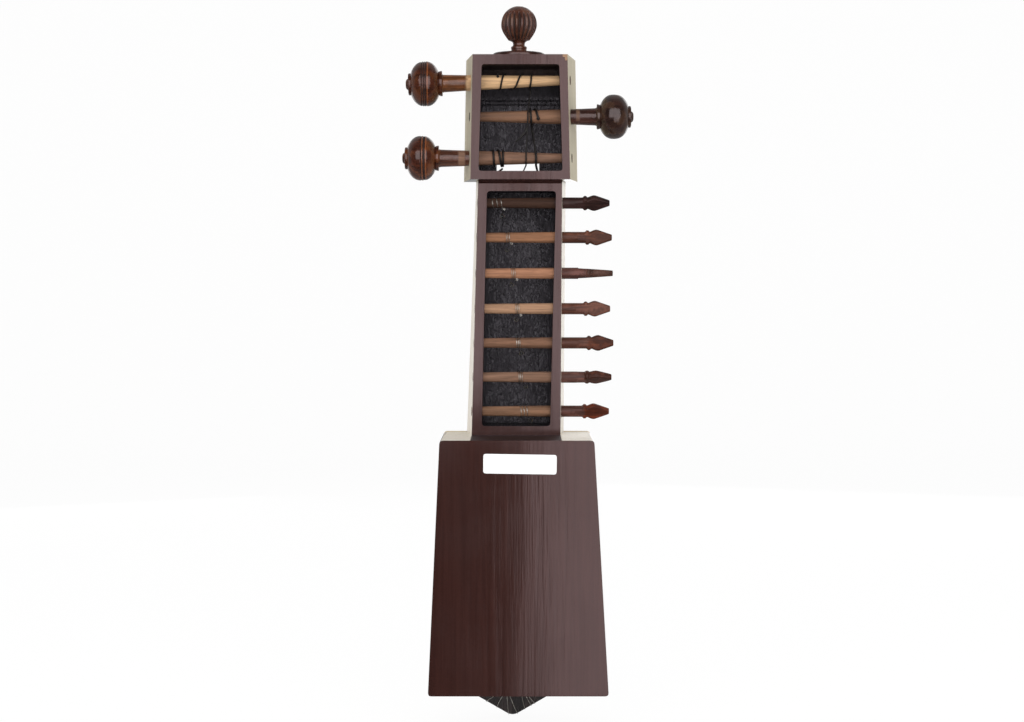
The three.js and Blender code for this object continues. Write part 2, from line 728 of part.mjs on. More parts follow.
function carvedBody() {
  let body = slab(bellyOutline(0), backY, frontY).add(neckBlock()).add(headBlock());
  const cuts = [
    slab(
      bellyOutline(-belly.sideWall, -belly.footWall, -belly.shoulderWall),
      backY + belly.backWall, frontY + overrun,
    ),
    slab(chamberOutline(neck), frontY - neck.depth - overrun, frontY - neck.boardThickness),
    slab(chamberOutline(head), frontY - head.depth - overrun, frontY - head.boardThickness),
    stringSlotCut(),
    headGrooveCut(),
    parchmentRebate(),
    finialHole(head.topZ - finial.tenonDepth - clearance, head.topZ + overrun),
    ...mainPegs.map(mainPegHole),
    ...spearPegs.map(spearPegHole),
    ...nailPlaces.map((x) => pinHole(
      x, tail.nailZ, nail.radius + clearance, tailFrontY - nail.shank - clearance, frontY + overrun,
    )),
    ...spearPegs.map((peg, i) => pinHole(
      eyeletX(i), eyeletZ(peg), eyelet.radius + clearance, frontY - neck.boardThickness - overrun,
      frontY + overrun,
    )),
  ];
  for (const cut of cuts) body = body.subtract(cut);
  return piece('carved_body', body, 'lacquer');
}

// Parchment glued over the rim, with its lap down the sides, foot and shoulders
function parchmentPiece() {
  const sheet = slab(bellyOutline(0), frontY - parchment.lap + clearance, parchmentFrontY);
  const inside = slab(
    bellyOutline(clearance - parchment.rebate), frontY - parchment.lap - overrun, frontY + clearance,
  );
  let skin = sheet.subtract(inside).subtract(neckRootGap(clearance));
  for (const x of nailPlaces) {
    skin = skin.subtract(pinHole(x, tail.nailZ, nail.radius + clearance, frontY, parchmentFrontY + overrun));
  }
  return piece('parchment', skin, 'parchment');
}

function strapPiece() {
  const outside = slab(bellyOutline(clearance + strap.thickness), frontY - strap.fold, strapFrontY);
  const inside = slab(
    bellyOutline(clearance), frontY - strap.fold - overrun, parchmentFrontY + clearance,
  );
  const reach = belly.bottomWidth;
  const band = box(
    -reach, reach, -reach, reach, bridge.z - strap.width / 2, bridge.z + strap.width / 2,
  );
  return piece('leather_strap', outside.subtract(inside).intersect(band), 'leather');
}

// Round-bottomed grooves along the top edge of an outline that runs from right to left
function grooveAlong(shape, topY, places) {
  for (const { x, radius } of places) {
    shape.lineTo(x + radius, topY);
    shape.absarc(x, topY, radius, 0, -Math.PI, true);
  }
}

const grooves = (place) => gutPlaces
  .map((string) => ({ x: gutX(place, string), radius: string.radius + stringClearance }))
  .sort((a, b) => b.x - a.x);

function nutPiece() {
  const middle = gutShift.nut;
  const half = nut.span / 2;
  const footY = frontY + clearance;
  const shape = new THREE.Shape();
  shape.moveTo(middle - half, footY);
  shape.lineTo(middle + half, footY);
  shape.lineTo(middle + half, nutTopY - nut.endRadius);
  shape.quadraticCurveTo(middle + half, nutTopY, middle + half - nut.endRadius, nutTopY);
  grooveAlong(shape, nutTopY, grooves('nut'));
  shape.lineTo(middle - half + nut.endRadius, nutTopY);
  shape.quadraticCurveTo(middle - half, nutTopY, middle - half, nutTopY - nut.endRadius);
  shape.closePath();
  return piece('nut', bar(shape, nut.z - nut.thickness / 2, nut.z + nut.thickness / 2), 'bone');
}

// The bone bridge: two feet, an arch between them, hollowed flanks, and seven holes in a row
function bridgePiece() {
  const middle = bridge.shift;
  const foot = bridge.footSpan / 2;
  const crown = bridge.crownWidth / 2;
  const arch = foot - bridge.footWidth;
  const footTop = bridgeFootY + bridge.waist;
  const archTop = bridgeFootY + bridge.archRise;
  const archPull = archTop + bridge.archRise;
  const holeY = bridgeFootY + bridge.holeHeight;
  const shape = new THREE.Shape();
  shape.moveTo(middle - foot, bridgeFootY);
  shape.lineTo(middle - arch, bridgeFootY);
  shape.quadraticCurveTo(middle - arch / 2, archPull, middle, archTop);
  shape.quadraticCurveTo(middle + arch / 2, archPull, middle + arch, bridgeFootY);
  shape.lineTo(middle + foot, bridgeFootY);
  shape.lineTo(middle + foot, footTop);
  shape.bezierCurveTo(
    middle + crown, footTop + bridge.waist / 2, middle + crown, bridgeTopY - bridge.waist,
    middle + crown + bridge.waist, bridgeTopY,
  );
  grooveAlong(shape, bridgeTopY, grooves('bridge'));
  shape.lineTo(middle - crown - bridge.waist, bridgeTopY);
  shape.bezierCurveTo(
    middle - crown, bridgeTopY - bridge.waist, middle - crown, footTop + bridge.waist / 2,
    middle - foot, footTop,
  );
  shape.closePath();
  for (let i = -3; i <= 3; i += 1) {
    const hole = new THREE.Path();
    hole.absarc(middle + i * bridge.holePitch, holeY, bridge.holeRadius, 0, turn, true);
    shape.holes.push(hole);
  }
  const half = bridge.thickness / 2;
  return piece('bridge', bar(shape, bridge.z - half, bridge.z + half), 'bone');
}

function tailPlate() {
  const { shift, halfWidth, topZ, shoulderZ, tipZ, cornerRadius, tipRadius } = tail;
  const outline = roundedShape([
    [shift - halfWidth, topZ], [shift - halfWidth, shoulderZ], [shift, tipZ, tipRadius],
    [shift + halfWidth, shoulderZ], [shift + halfWidth, topZ],
  ], cornerRadius);
  let plate = slab(outline, tailBackY, tailFrontY, 4);
  const through = [tailBackY - overrun, tailFrontY + overrun];
  for (const string of gutPlaces) {
    const radius = string.radius + stringClearance;
    plate = plate.subtract(pinHole(gutX('tail', string), tail.holeZ, radius, ...through));
  }
  for (const x of nailPlaces) {
    plate = plate.subtract(pinHole(x, tail.nailZ, nail.radius + clearance, ...through));
  }
  for (const { x, z } of wirePinPlaces) {
    const seatY = tailBackY + wirePin.seat + clearance;
    plate = plate.subtract(pinHole(x, z, wirePin.radius + clearance, tailBackY - overrun, seatY));
  }
  return piece('tail_plate', plate, 'ebony');
}

function tailNail(x, number) {
  const headY = tailFrontY + clearance;
  const pointY = tailFrontY - nail.shank;
  const profile = [
    [0, pointY], [nail.radius, pointY + 2 * nail.radius], [nail.radius, headY], [nail.headRadius, headY],
    [nail.headRadius * 0.8, headY + nail.headHeight * 0.7], [0, headY + nail.headHeight],
  ];
  const solid = roundAlongY(profile, eyeletSides).translate([x, 0, tail.nailZ]);
  return piece(`tail_nail_${number}`, solid, 'brass');
}

function wirePinPiece({ x, z }, number) {
  const seatY = tailBackY + wirePin.seat;
  const headY = seatY - wirePin.shank;
  const profile = [
    [0, headY], [wirePin.headRadius, headY], [wirePin.headRadius, headY + wirePin.headHeight],
    [wirePin.radius, headY + wirePin.headHeight], [wirePin.radius, seatY], [0, seatY],
  ];
  return piece(`wire_pin_${number}`, roundAlongY(profile, eyeletSides).translate([x, 0, z]), 'brass');
}

// A bone eyelet: a tube through the neck board with a lip on the front
function eyeletPiece(peg, i) {
  const lipY = frontY + clearance;
  const profile = [
    [eyelet.boreRadius, frontY - neck.boardThickness], [eyelet.radius, frontY - neck.boardThickness],
    [eyelet.radius, lipY], [eyelet.lipRadius, lipY], [eyelet.lipRadius, lipY + eyelet.lipHeight / 2],
    [eyelet.boreRadius + eyelet.lipHeight / 2, lipY + eyelet.lipHeight],
    [eyelet.boreRadius, lipY + eyelet.lipHeight], [eyelet.boreRadius, frontY - neck.boardThickness],
  ];
  const solid = roundAlongY(profile, eyeletSides).translate([eyeletX(i), 0, eyeletZ(peg)]);
  return piece(`eyelet_${i + 1}`, solid, 'bone');
}

// Finial

function turnedUp(profile, sides) {
  const points = profile.map(([radius, y]) => new THREE.Vector2(radius, y));
  const geometry = new THREE.LatheGeometry(points, sides);
  geometry.rotateX(Math.PI / 2);
  return geometry;
}

function finialHole(fromZ, toZ) {
  const radius = finial.tenonRadius + clearance;
  const geometry = turnedUp([[0, fromZ], [radius, fromZ], [radius, toZ], [0, toZ]], knobSides);
  geometry.translate(finial.shift, finial.y, 0);
  return solidOf(geometry);
}

function finialDisc() {
  const foot = head.topZ + clearance;
  const top = foot + finial.discHeight;
  const edge = finial.discHeight / 4;
  const geometry = turnedUp([
    [0, foot], [finial.discRadius, foot], [finial.discRadius, top - edge],
    [finial.discRadius - edge, top], [0, top],
  ], 2 * knobSides);
  geometry.translate(finial.shift, finial.y, 0);
  const bored = solidOf(geometry).subtract(finialHole(foot - overrun, top + overrun));
  return piece('finial_disc', bored, 'turned');
}

// The turned finial: a tenon, a collar, a neck and a ball, whose flutes run from its cap down
function finialPiece() {
  const seat = head.topZ + finial.discHeight + 2 * clearance;
  const ballFoot = seat + finial.neckTop;
  const middle = seat + finial.ballMiddle;
  const top = seat + finial.ballTop;
  const rise = top - middle;
  const dome = [0.25, 0.5, 0.7, 0.85, 0.95].map((share) => (
    [finial.ballRadius * Math.sqrt(1 - share ** 2), middle + rise * share]
  ));
  const under = [0, 0.25, 0.5, 0.75].map((share) => (
    [mix(finial.footRadius, finial.ballRadius, Math.sin(share * Math.PI / 2)), mix(ballFoot, middle, share)]
  ));
  const profile = [
    [0, head.topZ - finial.tenonDepth], [finial.tenonRadius, head.topZ - finial.tenonDepth],
    [finial.tenonRadius, seat], [finial.collarRadius, seat],
    [finial.collarRadius, seat + finial.collarHeight], [finial.neckRadius, seat + 1.2 * finial.collarHeight],
    [finial.neckRadius, seat + 0.85 * finial.neckTop], ...under, [finial.ballRadius, middle], ...dome,
    [0, top],
  ];
  const geometry = turnedUp(profile, 2 * fluteCount);
  const place = geometry.attributes.position;
  for (let i = 0; i < place.count; i += 1) {
    const meridian = Math.floor(i / profile.length);
    const height = place.getZ(i);
    const isFlute = meridian % 2 === 1 && height > ballFoot && height < seat + finial.capTop;
    const radius = Math.hypot(place.getX(i), place.getY(i));
    const share = isFlute ? 1 - finial.fluteDepth / radius : 1;
    place.setXY(i, place.getX(i) * share, place.getY(i) * share);
  }
  geometry.translate(finial.shift, finial.y, 0);
  return piece('finial', solidOf(geometry), 'turned');
}

// Assembly

const sarangi = new THREE.Group();
sarangi.name = 'sarangi';
sarangi.add(carvedBody(), parchmentPiece(), strapPiece(), bridgePiece(), nutPiece(), tailPlate());
nailPlaces.forEach((x, i) => sarangi.add(tailNail(x, i + 1)));
wirePinPlaces.forEach((place, i) => sarangi.add(wirePinPiece(place, i + 1)));
sarangi.add(finialDisc(), finialPiece());
mainPegs.forEach((peg, i) => sarangi.add(mainPegGroup(peg, gutPlaces[i])));
sarangi.add(...gutStrings());
spearPegs.forEach((peg, i) => {
  const string = stringSolid(wirePoints(i), wire.radius, wireLoop.sides);
  sarangi.add(spearPegGroup(peg, i + 1), eyeletPiece(peg, i));
  sarangi.add(piece(`sympathetic_wire_${i + 1}`, string, 'steel'));
});

export default sarangi;
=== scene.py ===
"""A small folk sarangi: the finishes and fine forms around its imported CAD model.

Sizes are millimetres in the model's own frame, and become metres where a mesh is made. Finishes
work in metres throughout.
"""
import json
import math

import bmesh
import bpy
import numpy as np
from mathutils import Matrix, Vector


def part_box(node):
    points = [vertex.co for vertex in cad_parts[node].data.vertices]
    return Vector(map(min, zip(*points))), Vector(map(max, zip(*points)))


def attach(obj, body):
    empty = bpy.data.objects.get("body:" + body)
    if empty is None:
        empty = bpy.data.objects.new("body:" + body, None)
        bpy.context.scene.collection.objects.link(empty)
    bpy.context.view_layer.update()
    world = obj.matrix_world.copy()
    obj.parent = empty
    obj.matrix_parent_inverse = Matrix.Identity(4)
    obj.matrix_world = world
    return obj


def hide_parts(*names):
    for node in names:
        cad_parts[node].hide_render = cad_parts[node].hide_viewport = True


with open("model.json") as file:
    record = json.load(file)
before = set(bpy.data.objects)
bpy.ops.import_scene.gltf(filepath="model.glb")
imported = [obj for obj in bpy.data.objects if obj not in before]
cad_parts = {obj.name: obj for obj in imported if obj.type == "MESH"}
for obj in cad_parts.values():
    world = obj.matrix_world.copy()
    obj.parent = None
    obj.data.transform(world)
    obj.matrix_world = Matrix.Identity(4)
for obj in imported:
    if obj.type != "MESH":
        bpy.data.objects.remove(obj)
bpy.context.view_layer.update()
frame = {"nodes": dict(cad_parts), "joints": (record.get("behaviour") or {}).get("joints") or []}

# Camera. It stands behind the instrument, 1.87 m from the belly's back and level with its neck, looks
# down a little and is shifted down, as the photograph is framed.
lens = bpy.data.cameras.new("camera")
lens.lens = 77.4455
lens.sensor_width = 36
lens.shift_x = -0.00615
lens.shift_y = -0.03057
camera = bpy.data.objects.new("camera", lens)
camera.location = (0, -1.9285, 0.3587)
downward = math.atan(0.02453)
camera.rotation_euler = (math.pi / 2 - downward, 0, 0)
bpy.context.scene.collection.objects.link(camera)
bpy.context.scene.camera = camera
bpy.context.scene.view_settings.view_transform = "Standard"


# Studio. Soft boxes stand beside the camera, so that the flat lacquered back mirrors them: the two
# upper ones in the neck, the lower right one in the right half of the belly only.
def softbox(name, place, target, width, height, radiance, is_mirrored=False):
    """A flat rectangular lamp of even brightness: its power is its radiance times pi times its area.
    Only some lamps are mirrored in polished surfaces."""
    data = bpy.data.lights.new(name, "AREA")
    data.shape = "RECTANGLE"
    data.size = width
    data.size_y = height
    data.energy = radiance * math.pi * width * height
    lamp = bpy.data.objects.new(name, data)
    lamp.location = place
    towards = Vector(target) - lamp.location
    lamp.rotation_euler = towards.to_track_quat("-Z", "Y").to_euler()
    lamp.visible_camera = False
    lamp.visible_glossy = is_mirrored
    bpy.context.scene.collection.objects.link(lamp)


softbox("upper_left_box", (-0.92, -1.95, 1.08), (-0.92, 0, 1.08), 1.8, 1.9, 3.0, True)
softbox("upper_right_box", (0.92, -1.95, 1.08), (0.92, 0, 1.08), 1.8, 1.9, 3.0, True)
softbox("lower_right_box", (0.65, -1.95, -0.26), (0.65, 0, -0.26), 1.26, 0.78, 2.25, True)
middle = (0, 0, 0.3)
softbox("overhead_box", (0, -0.2, 1.9), middle, 1.8, 1.4, 0.7)
softbox("left_side_box", (-1.7, -0.2, 0.6), middle, 1.2, 1.6, 1.0)
softbox("right_side_box", (1.7, -0.2, 0.6), middle, 1.2, 1.6, 1.15)
softbox("playing_side_box", (0.7, 1.9, 0.8), middle, 1.4, 1.6, 1.2, True)
softbox("playing_side_fill", (-0.9, 1.8, 0.4), middle, 1.0, 1.4, 0.8, True)


def fill(node, inputs):
    """Gives a node's inputs their values, or links them to other nodes' sockets."""
    for socket, value in inputs.items():
        if isinstance(value, bpy.types.NodeSocket):
            node.id_data.links.new(value, node.inputs[socket])
        else:
            node.inputs[socket].default_value = value


def add(tree, kind, inputs=None, **settings):
    """One shader node of a kind in a tree, with its settings and its inputs."""
    node = tree.nodes.new("ShaderNode" + kind)
    for name, value in settings.items():
        setattr(node, name, value)
    fill(node, inputs or {})
    return node


def join(kind, inputs, **settings):
    """One shader node in the tree that the first socket among its inputs belongs to."""
    sockets = [value for value in inputs.values() if isinstance(value, bpy.types.NodeSocket)]
    return add(sockets[0].id_data, kind, inputs, **settings)


def calc(operation, *values):
    """A number worked out from one to three others."""
    return join("Math", dict(enumerate(values)), operation=operation).outputs[0]


def mix(share, first, second):
    """A number between two others, by a share."""
    return join("Mix", {0: share, 2: first, 3: second}, data_type="FLOAT").outputs[0]


def ramp(value, low, high, bottom=0.0, top=1.0, shape="SMOOTHSTEP"):
    """A number taken from one range to another."""
    return join("MapRange", {
        "Value": value, "From Min": low, "From Max": high, "To Min": bottom, "To Max": top,
    }, interpolation_type=shape).outputs[0]


def axes(place):
    """The X, Y and Z of a vector."""
    return tuple(join("SeparateXYZ", {"Vector": place}).outputs)


white = (1, 1, 1, 1)
world = bpy.data.worlds.new("studio")
world.use_nodes = True
bpy.context.scene.world = world
tree = world.node_tree
tree.nodes.clear()
ray = add(tree, "LightPath").outputs
direction = add(tree, "TexCoord").outputs["Generated"]
behind = ramp(axes(direction)[1], -0.1, 0.3, 0.1, 0.45, "LINEAR")
mirrored = calc("MAXIMUM", ray["Is Glossy Ray"], ray["Is Transmission Ray"])
strength = mix(ray["Is Camera Ray"], mix(mirrored, 0.42, behind), 1.0)
background = add(tree, "Background", {"Color": white, "Strength": strength})
add(tree, "OutputWorld", {"Surface": background.outputs[0]})


# Floor. A white sheet that starts just behind the camera's view of the foot and curves up into a
# backdrop; the tail plate's point touches it.
def smooth(mesh):
    """The mesh with all its faces shaded smooth."""
    mesh.polygons.foreach_set("use_smooth", np.ones(len(mesh.polygons), bool))
    return mesh


def grid_mesh(name, points, wraps=False):
    """A mesh over a grid of points [row, column, xyz] in millimetres, a quad between each four
    neighbours; wraps joins the last column to the first. Its UV map holds the column as a share of
    a turn and the row's distance along the grid in metres. A row drawn to one point closes an end."""
    rows, columns = points.shape[:2]
    last = columns if wraps else columns - 1
    row = np.arange(rows - 1)[:, None] * columns
    column = np.arange(last)[None, :]
    after = (column + 1) % columns
    corners = np.stack([row + column, row + columns + column, row + columns + after, row + after], -1)
    mesh = bpy.data.meshes.new(name)
    mesh.from_pydata((points.reshape(-1, 3) * 0.001).tolist(), [], corners.reshape(-1, 4).tolist())
    gap = np.linalg.norm(np.diff(points.mean(1), axis=0), axis=1)
    along = np.concatenate([[0], np.cumsum(gap)]) * 0.001
    share = np.arange(last + 1) / (columns if wraps else columns - 1)
    u = np.stack([share[:-1], share[:-1], share[1:], share[1:]], -1)[None].repeat(rows - 1, 0)
    v = np.stack([along[:-1], along[1:], along[1:], along[:-1]], -1)[:, None].repeat(last, 1)
    layer = mesh.uv_layers.new(name="surface")
    layer.data.foreach_set("uv", np.stack([u, v], -1).astype(np.float32).ravel())
    return smooth(mesh)


def shown_object(name, mesh, *materials):
    """An object at the origin that shows a mesh with its materials."""
    made = bpy.data.objects.new(name, mesh)
    for material in materials:
        mesh.materials.append(material)
    bpy.context.scene.collection.objects.link(made)
    return made


def material(name, finish, *looks, **others):
    """A node material. Its finish is a function that takes the object coordinates, and then what
    sets its look, and gives the Principled shader's inputs."""
    made = bpy.data.materials.new(name)
    made.use_nodes = True
    tree = made.node_tree
    tree.nodes.clear()
    shader = add(tree, "BsdfPrincipled")
    add(tree, "OutputMaterial", {"Surface": shader.outputs[0]})
    fill(shader, finish(add(tree, "TexCoord").outputs["Object"], *looks, **others))
    return made


def floor_points():
    """A section carried along X: level for 3 m, a quarter round of 0.7 m, then straight up."""
    level, bend, start, half_width = 3000, 700, -250, 4500
    run = np.linspace(0, 1, 80) * (level + 2600)
    angle = np.clip((run - level) / bend, 0, math.pi / 2)
    y = np.minimum(run, level) + bend * np.sin(angle) + start
    z = bend * (1 - np.cos(angle)) + np.maximum(run - level - bend * math.pi / 2, 0)
    x = np.linspace(half_width, -half_width, 3)
    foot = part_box("tail_plate")[0].z * 1000 - 0.1
    return np.stack(np.broadcast_arrays(x[None], y[:, None], (z + foot)[:, None]), -1)


paper = material("white_sheet", lambda _: {
    "Base Color": (0.86, 0.86, 0.86, 1), "Roughness": 0.9, "Specular IOR Level": 0.1,
})
tree = paper.node_tree
shader = tree.nodes["Principled BSDF"]
ray = add(tree, "LightPath").outputs
seen = calc("MAXIMUM", ray["Is Camera Ray"], ray["Is Glossy Ray"])
share = calc("MULTIPLY", calc("MAXIMUM", seen, ray["Is Transmission Ray"]), 0.94)
glow = ramp(ray["Is Camera Ray"], 0, 1, 0.35, 1.01, "LINEAR")
bright = join("Emission", {"Color": white, "Strength": glow})
both = join("MixShader", {0: share, 1: shader.outputs[0], 2: bright.outputs[0]})
fill(tree.nodes["Material Output"], {"Surface": both.outputs[0]})
floor = shown_object("floor", grid_mesh("floor", floor_points()), paper)


# Carved block. Peg box, neck and belly are one piece of red cedar, cut from the solid: lacquered red
# brown at the back, painted black in the two chambers, and ivory-coloured on the sides, the
# shoulders and the boards of the playing side.
def group(name, inputs, result):
    """A shader node group with named inputs, each a number or a vector, and a number as its result."""
    made = bpy.data.node_groups.new(name, "ShaderNodeTree")
    for label, value in inputs.items():
        kind = "NodeSocketVector" if isinstance(value, tuple) else "NodeSocketFloat"
        made.interface.new_socket(label, in_out="INPUT", socket_type=kind).default_value = value
    made.interface.new_socket(result, in_out="OUTPUT", socket_type="NodeSocketFloat")
    return made, made.nodes.new("NodeGroupInput").outputs, made.nodes.new("NodeGroupOutput")


def noise(place, scale, detail, roughness=0.5, distortion=0.0):
    """Even noise between 0 and 1."""
    return join("TexNoise", {
        "Vector": place, "Scale": scale, "Detail": detail, "Roughness": roughness,
        "Distortion": distortion,
    }).outputs["Fac"]


# Streaks: long fibres or brush strokes along one axis, fine across it
streaks, taken, given = group(
    "streaks", {"Vector": (0.0, 0.0, 0.0), "Fineness": 300.0, "Waviness": 0.4}, "Value")
fill(given, {"Value": noise(taken["Vector"], taken["Fineness"], 5.0, 0.6, taken["Waviness"])})

# Blotches: soft uneven patches with a share of the surface to cover
blotches, taken, given = group(
    "blotches", {"Vector": (0.0, 0.0, 0.0), "Size": 60.0, "Cover": 0.5, "Softness": 0.1}, "Mask")
edge = calc("SUBTRACT", 1.0, taken["Cover"])
low, high = (calc(sign, edge, taken["Softness"]) for sign in ("SUBTRACT", "ADD"))
fill(given, {"Mask": ramp(noise(taken["Vector"], taken["Size"], 4.0, 0.55), low, high)})


def stretched(place, scale):
    """Coordinates scaled by a factor for each axis, so that a pattern runs along the smallest."""
    return join("Mapping", {"Vector": place, "Scale": scale}).outputs[0]


def streak(place, scale, fineness, waviness):
    """Streaks over stretched coordinates."""
    return join("Group", {
        "Vector": stretched(place, scale), "Fineness": fineness, "Waviness": waviness,
    }, node_tree=streaks).outputs[0]


def patches(place, size, cover, softness):
    """The mask of soft patches."""
    return join("Group", {
        "Vector": place, "Size": size, "Cover": cover, "Softness": softness,
    }, node_tree=blotches).outputs[0]


def blend(share, first, second, kind="MIX"):
    """Two colours mixed by a share, each a socket or its red, green and blue."""
    first, second = (
        value if isinstance(value, bpy.types.NodeSocket) else (*value, 1) for value in (first, second))
    return join("Mix", {0: share, 6: first, 7: second}, data_type="RGBA", blend_type=kind).outputs[2]


def bumps(*steps):
    """A normal bent by one height after another, each with the depth of its full step in metres."""
    bent = {}
    for height, depth in steps:
        node = join("Bump", {"Strength": 1.0, "Distance": depth, "Height": height, **bent})
        bent = {"Normal": node.outputs[0]}
    return node.outputs[0]


def lacquer(place):
    """Red-brown lacquer over wood: faint lengthwise streaks in its colour and in its surface, one
    corner of the peg box chipped to the wood, and painted shade on the dull ledge at the neck's foot."""
    fibre = streak(place, (1, 1, 0.04), 260.0, 0.3)
    broad = streak(place, (1, 1, 0.04), 55.0, 0.2)
    cloud = patches(place, 14.0, 0.5, 0.25)
    colour = blend(ramp(fibre, 0.3, 0.7), (0.022, 0.0075, 0.0058), (0.031, 0.011, 0.0086))
    colour = blend(ramp(cloud, 0, 1, 0, 0.35), colour, (0.022, 0.0085, 0.0068))
    _, depth, height = axes(place)
    is_level = calc("COMPARE", height, 0.2185, 0.0004)
    shaded_ledge = calc("MULTIPLY", is_level, calc("GREATER_THAN", depth, -0.0578))
    # Painted shade: the level ledge at the neck's foot is coloured darker, as its shadow
    colour = blend(shaded_ledge, colour, (0.012, 0.004, 0.0032))
    chipped_corner = (0.0425, -0.0005, 0.5505)
    distance = join("VectorMath", {0: place, 1: chipped_corner}, operation="DISTANCE").outputs["Value"]
    reach = calc("MULTIPLY_ADD", noise(place, 420.0, 3.0), 0.0075, -0.0005)
    chip = calc("LESS_THAN", distance, reach)
    gloss = mix(chip, ramp(cloud, 0, 1, 0.08, 0.13), 0.6)
    return {
        "Base Color": blend(chip, colour, (0.24, 0.14, 0.075)), "Roughness": mix(shaded_ledge, gloss, 0.5),
        "Specular Tint": (1.0, 0.77, 0.79, 1), "Normal": bumps((broad, 0.00013), (fibre, 0.000022)),
    }


def ivory(place):
    """Ivory-coloured coat over wood: fine lengthwise lines, faint yellowing and a few dark nicks; on
    the peg box it is duller, and darker by painted shade."""
    line = streak(place, (1, 1, 0.03), 520.0, 0.1)
    stain = patches(place, 30.0, 0.42, 0.2)
    nick = patches(stretched(place, (1, 1, 0.35)), 130.0, 0.262, 0.012)
    colour = blend(ramp(line, 0.35, 0.65), (0.64, 0.58, 0.48), (0.80, 0.74, 0.64))
    colour = blend(ramp(stain, 0, 1, 0, 0.35), colour, (0.66, 0.57, 0.43))
    colour = blend(ramp(nick, 0, 1, 0, 0.8), colour, (0.10, 0.065, 0.045))
    on_peg_box = ramp(axes(place)[2], 0.441, 0.443)
    # Painted shade: the peg box's sides are coloured darker than the neck's
    shade = blend(on_peg_box, (1, 1, 1), (0.62, 0.60, 0.51))
    return {
        "Base Color": blend(1.0, colour, shade, "MULTIPLY"),
        "Roughness": ramp(on_peg_box, 0, 1, 0.38, 0.7), "Normal": bumps((line, 0.00003)),
    }


def black_paint(place):
    """Black gloss paint put on with a coarse brush: short strokes along the grain, dull in the neck's
    corners, two scored lines across the peg box's floor, and thin brown paint under its top."""
    ridge = streak(place, (1, 1, 0.16), 420.0, 0.5)
    swell = noise(place, 240.0, 5.0, 0.65)
    stroke = noise(stretched(place, (1, 1, 0.4)), 520.0, 3.0, distortion=1.2)
    pool = patches(stretched(place, (1, 1, 0.5)), 60.0, 0.5, 0.3)
    across, _, height = axes(place)
    colour = blend(ramp(ridge, 0.35, 0.65), (0.0035, 0.003, 0.0035), (0.014, 0.012, 0.0145))
    thin = calc("MULTIPLY", ramp(height, 0.533, 0.541), swell)
    up = ramp(height, 0.2185, 0.4405, shape="LINEAR")
    neck_middle = calc("MULTIPLY_ADD", up, 0.00485, -0.00205)
    aside = calc("ABSOLUTE", calc("SUBTRACT", across, neck_middle))
    in_neck = calc("LESS_THAN", height, 0.445)
    corner = calc("MULTIPLY", ramp(aside, 0.0265, 0.0288), in_neck)
    corner = calc("MAXIMUM", corner, ramp(height, 0.515, 0.522))
    dull = calc("MAXIMUM", mix(0.5, ramp(stroke, 0.4, 0.6), pool), corner)
    steps = [(swell, 0.0009), (stroke, 0.0009), (ridge, 0.0004)]
    for line in (0.5118, 0.5153):
        distance = calc("ABSOLUTE", calc("SUBTRACT", height, line))
        steps.append((ramp(distance, 0.0002, 0.0009), 0.0008))
    return {
        "Base Color": blend(thin, colour, (0.05, 0.022, 0.01)),
        "Roughness": ramp(dull, 0.1, 0.9, 0.12, 0.62), "Specular Tint": (0.97, 0.9, 1.0, 1),
        "Normal": bumps(*steps),
    }


def raw_wood(place):
    """Bare reddish wood, as cut, inside the belly and in the peg holes."""
    grain = streak(place, (1, 1, 0.08), 220.0, 0.6)
    return {
        "Base Color": blend(ramp(grain, 0.3, 0.7), (0.22, 0.11, 0.05), (0.42, 0.25, 0.13)),
        "Roughness": 0.75, "Normal": bumps((grain, 0.0002)),
    }


def merged_copy(node):
    """A copy of a CAD node's mesh with its triangles joined, and flat areas made whole faces."""
    form = bmesh.new()
    form.from_mesh(frame["nodes"][node].data)
    bmesh.ops.remove_doubles(form, verts=form.verts, dist=1e-6)
    bmesh.ops.dissolve_limit(form, angle_limit=math.radians(0.6), verts=form.verts, edges=form.edges)
    return form


def mesh_of(form, name):
    """A form as a smooth mesh."""
    mesh = bpy.data.meshes.new(name)
    form.to_mesh(mesh)
    form.free()
    return smooth(mesh)


def soften(made, width, weighted=False):
    """Rounds an object's sharp edges by a width in millimetres and keeps its flat faces flat."""
    bevel = made.modifiers.new("rounded_edges", "BEVEL")
    bevel.width = width * 0.001
    bevel.segments = 3
    bevel.limit_method = "WEIGHT" if weighted else "ANGLE"
    bevel.angle_limit = math.radians(40)
    bevel.miter_outer = "MITER_ARC"
    flat = made.modifiers.new("flat_faces", "WEIGHTED_NORMAL")
    flat.keep_sharp = True
    flat.weight = 100
    return made


def as_piece(made, slot, *nodes, body="instrument"):
    """Lets an object ride on a body and stand for CAD nodes, which it hides. The slot is not used."""
    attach(made, body)
    if nodes:
        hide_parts(*nodes)


def face_values(mesh, name):
    """A vector of every face, such as its middle or its normal."""
    values = np.empty(len(mesh.polygons) * 3, np.float32)
    mesh.polygons.foreach_get(name, values)
    return values.reshape(-1, 3)


belly_top, neck_rise = 218.5, 222
strip_left, strip_right = -41, 37.1
neck_chamber = [(-36, 36), (4.6, 53), (225.5, 433.5)]
peg_box_chamber = [(-39.5, 39.5), (-0.4, 52.6), (449.5, 544.5)]
string_slot = [(-22, 22), (51, 58.4), (449.5, 463)]
belly_hollow = [(-69, 69), (-50, 58.4), (13.5, 207)]
joint_groove = [(-100, 100), (0, 8), (438.5, 445.5)]


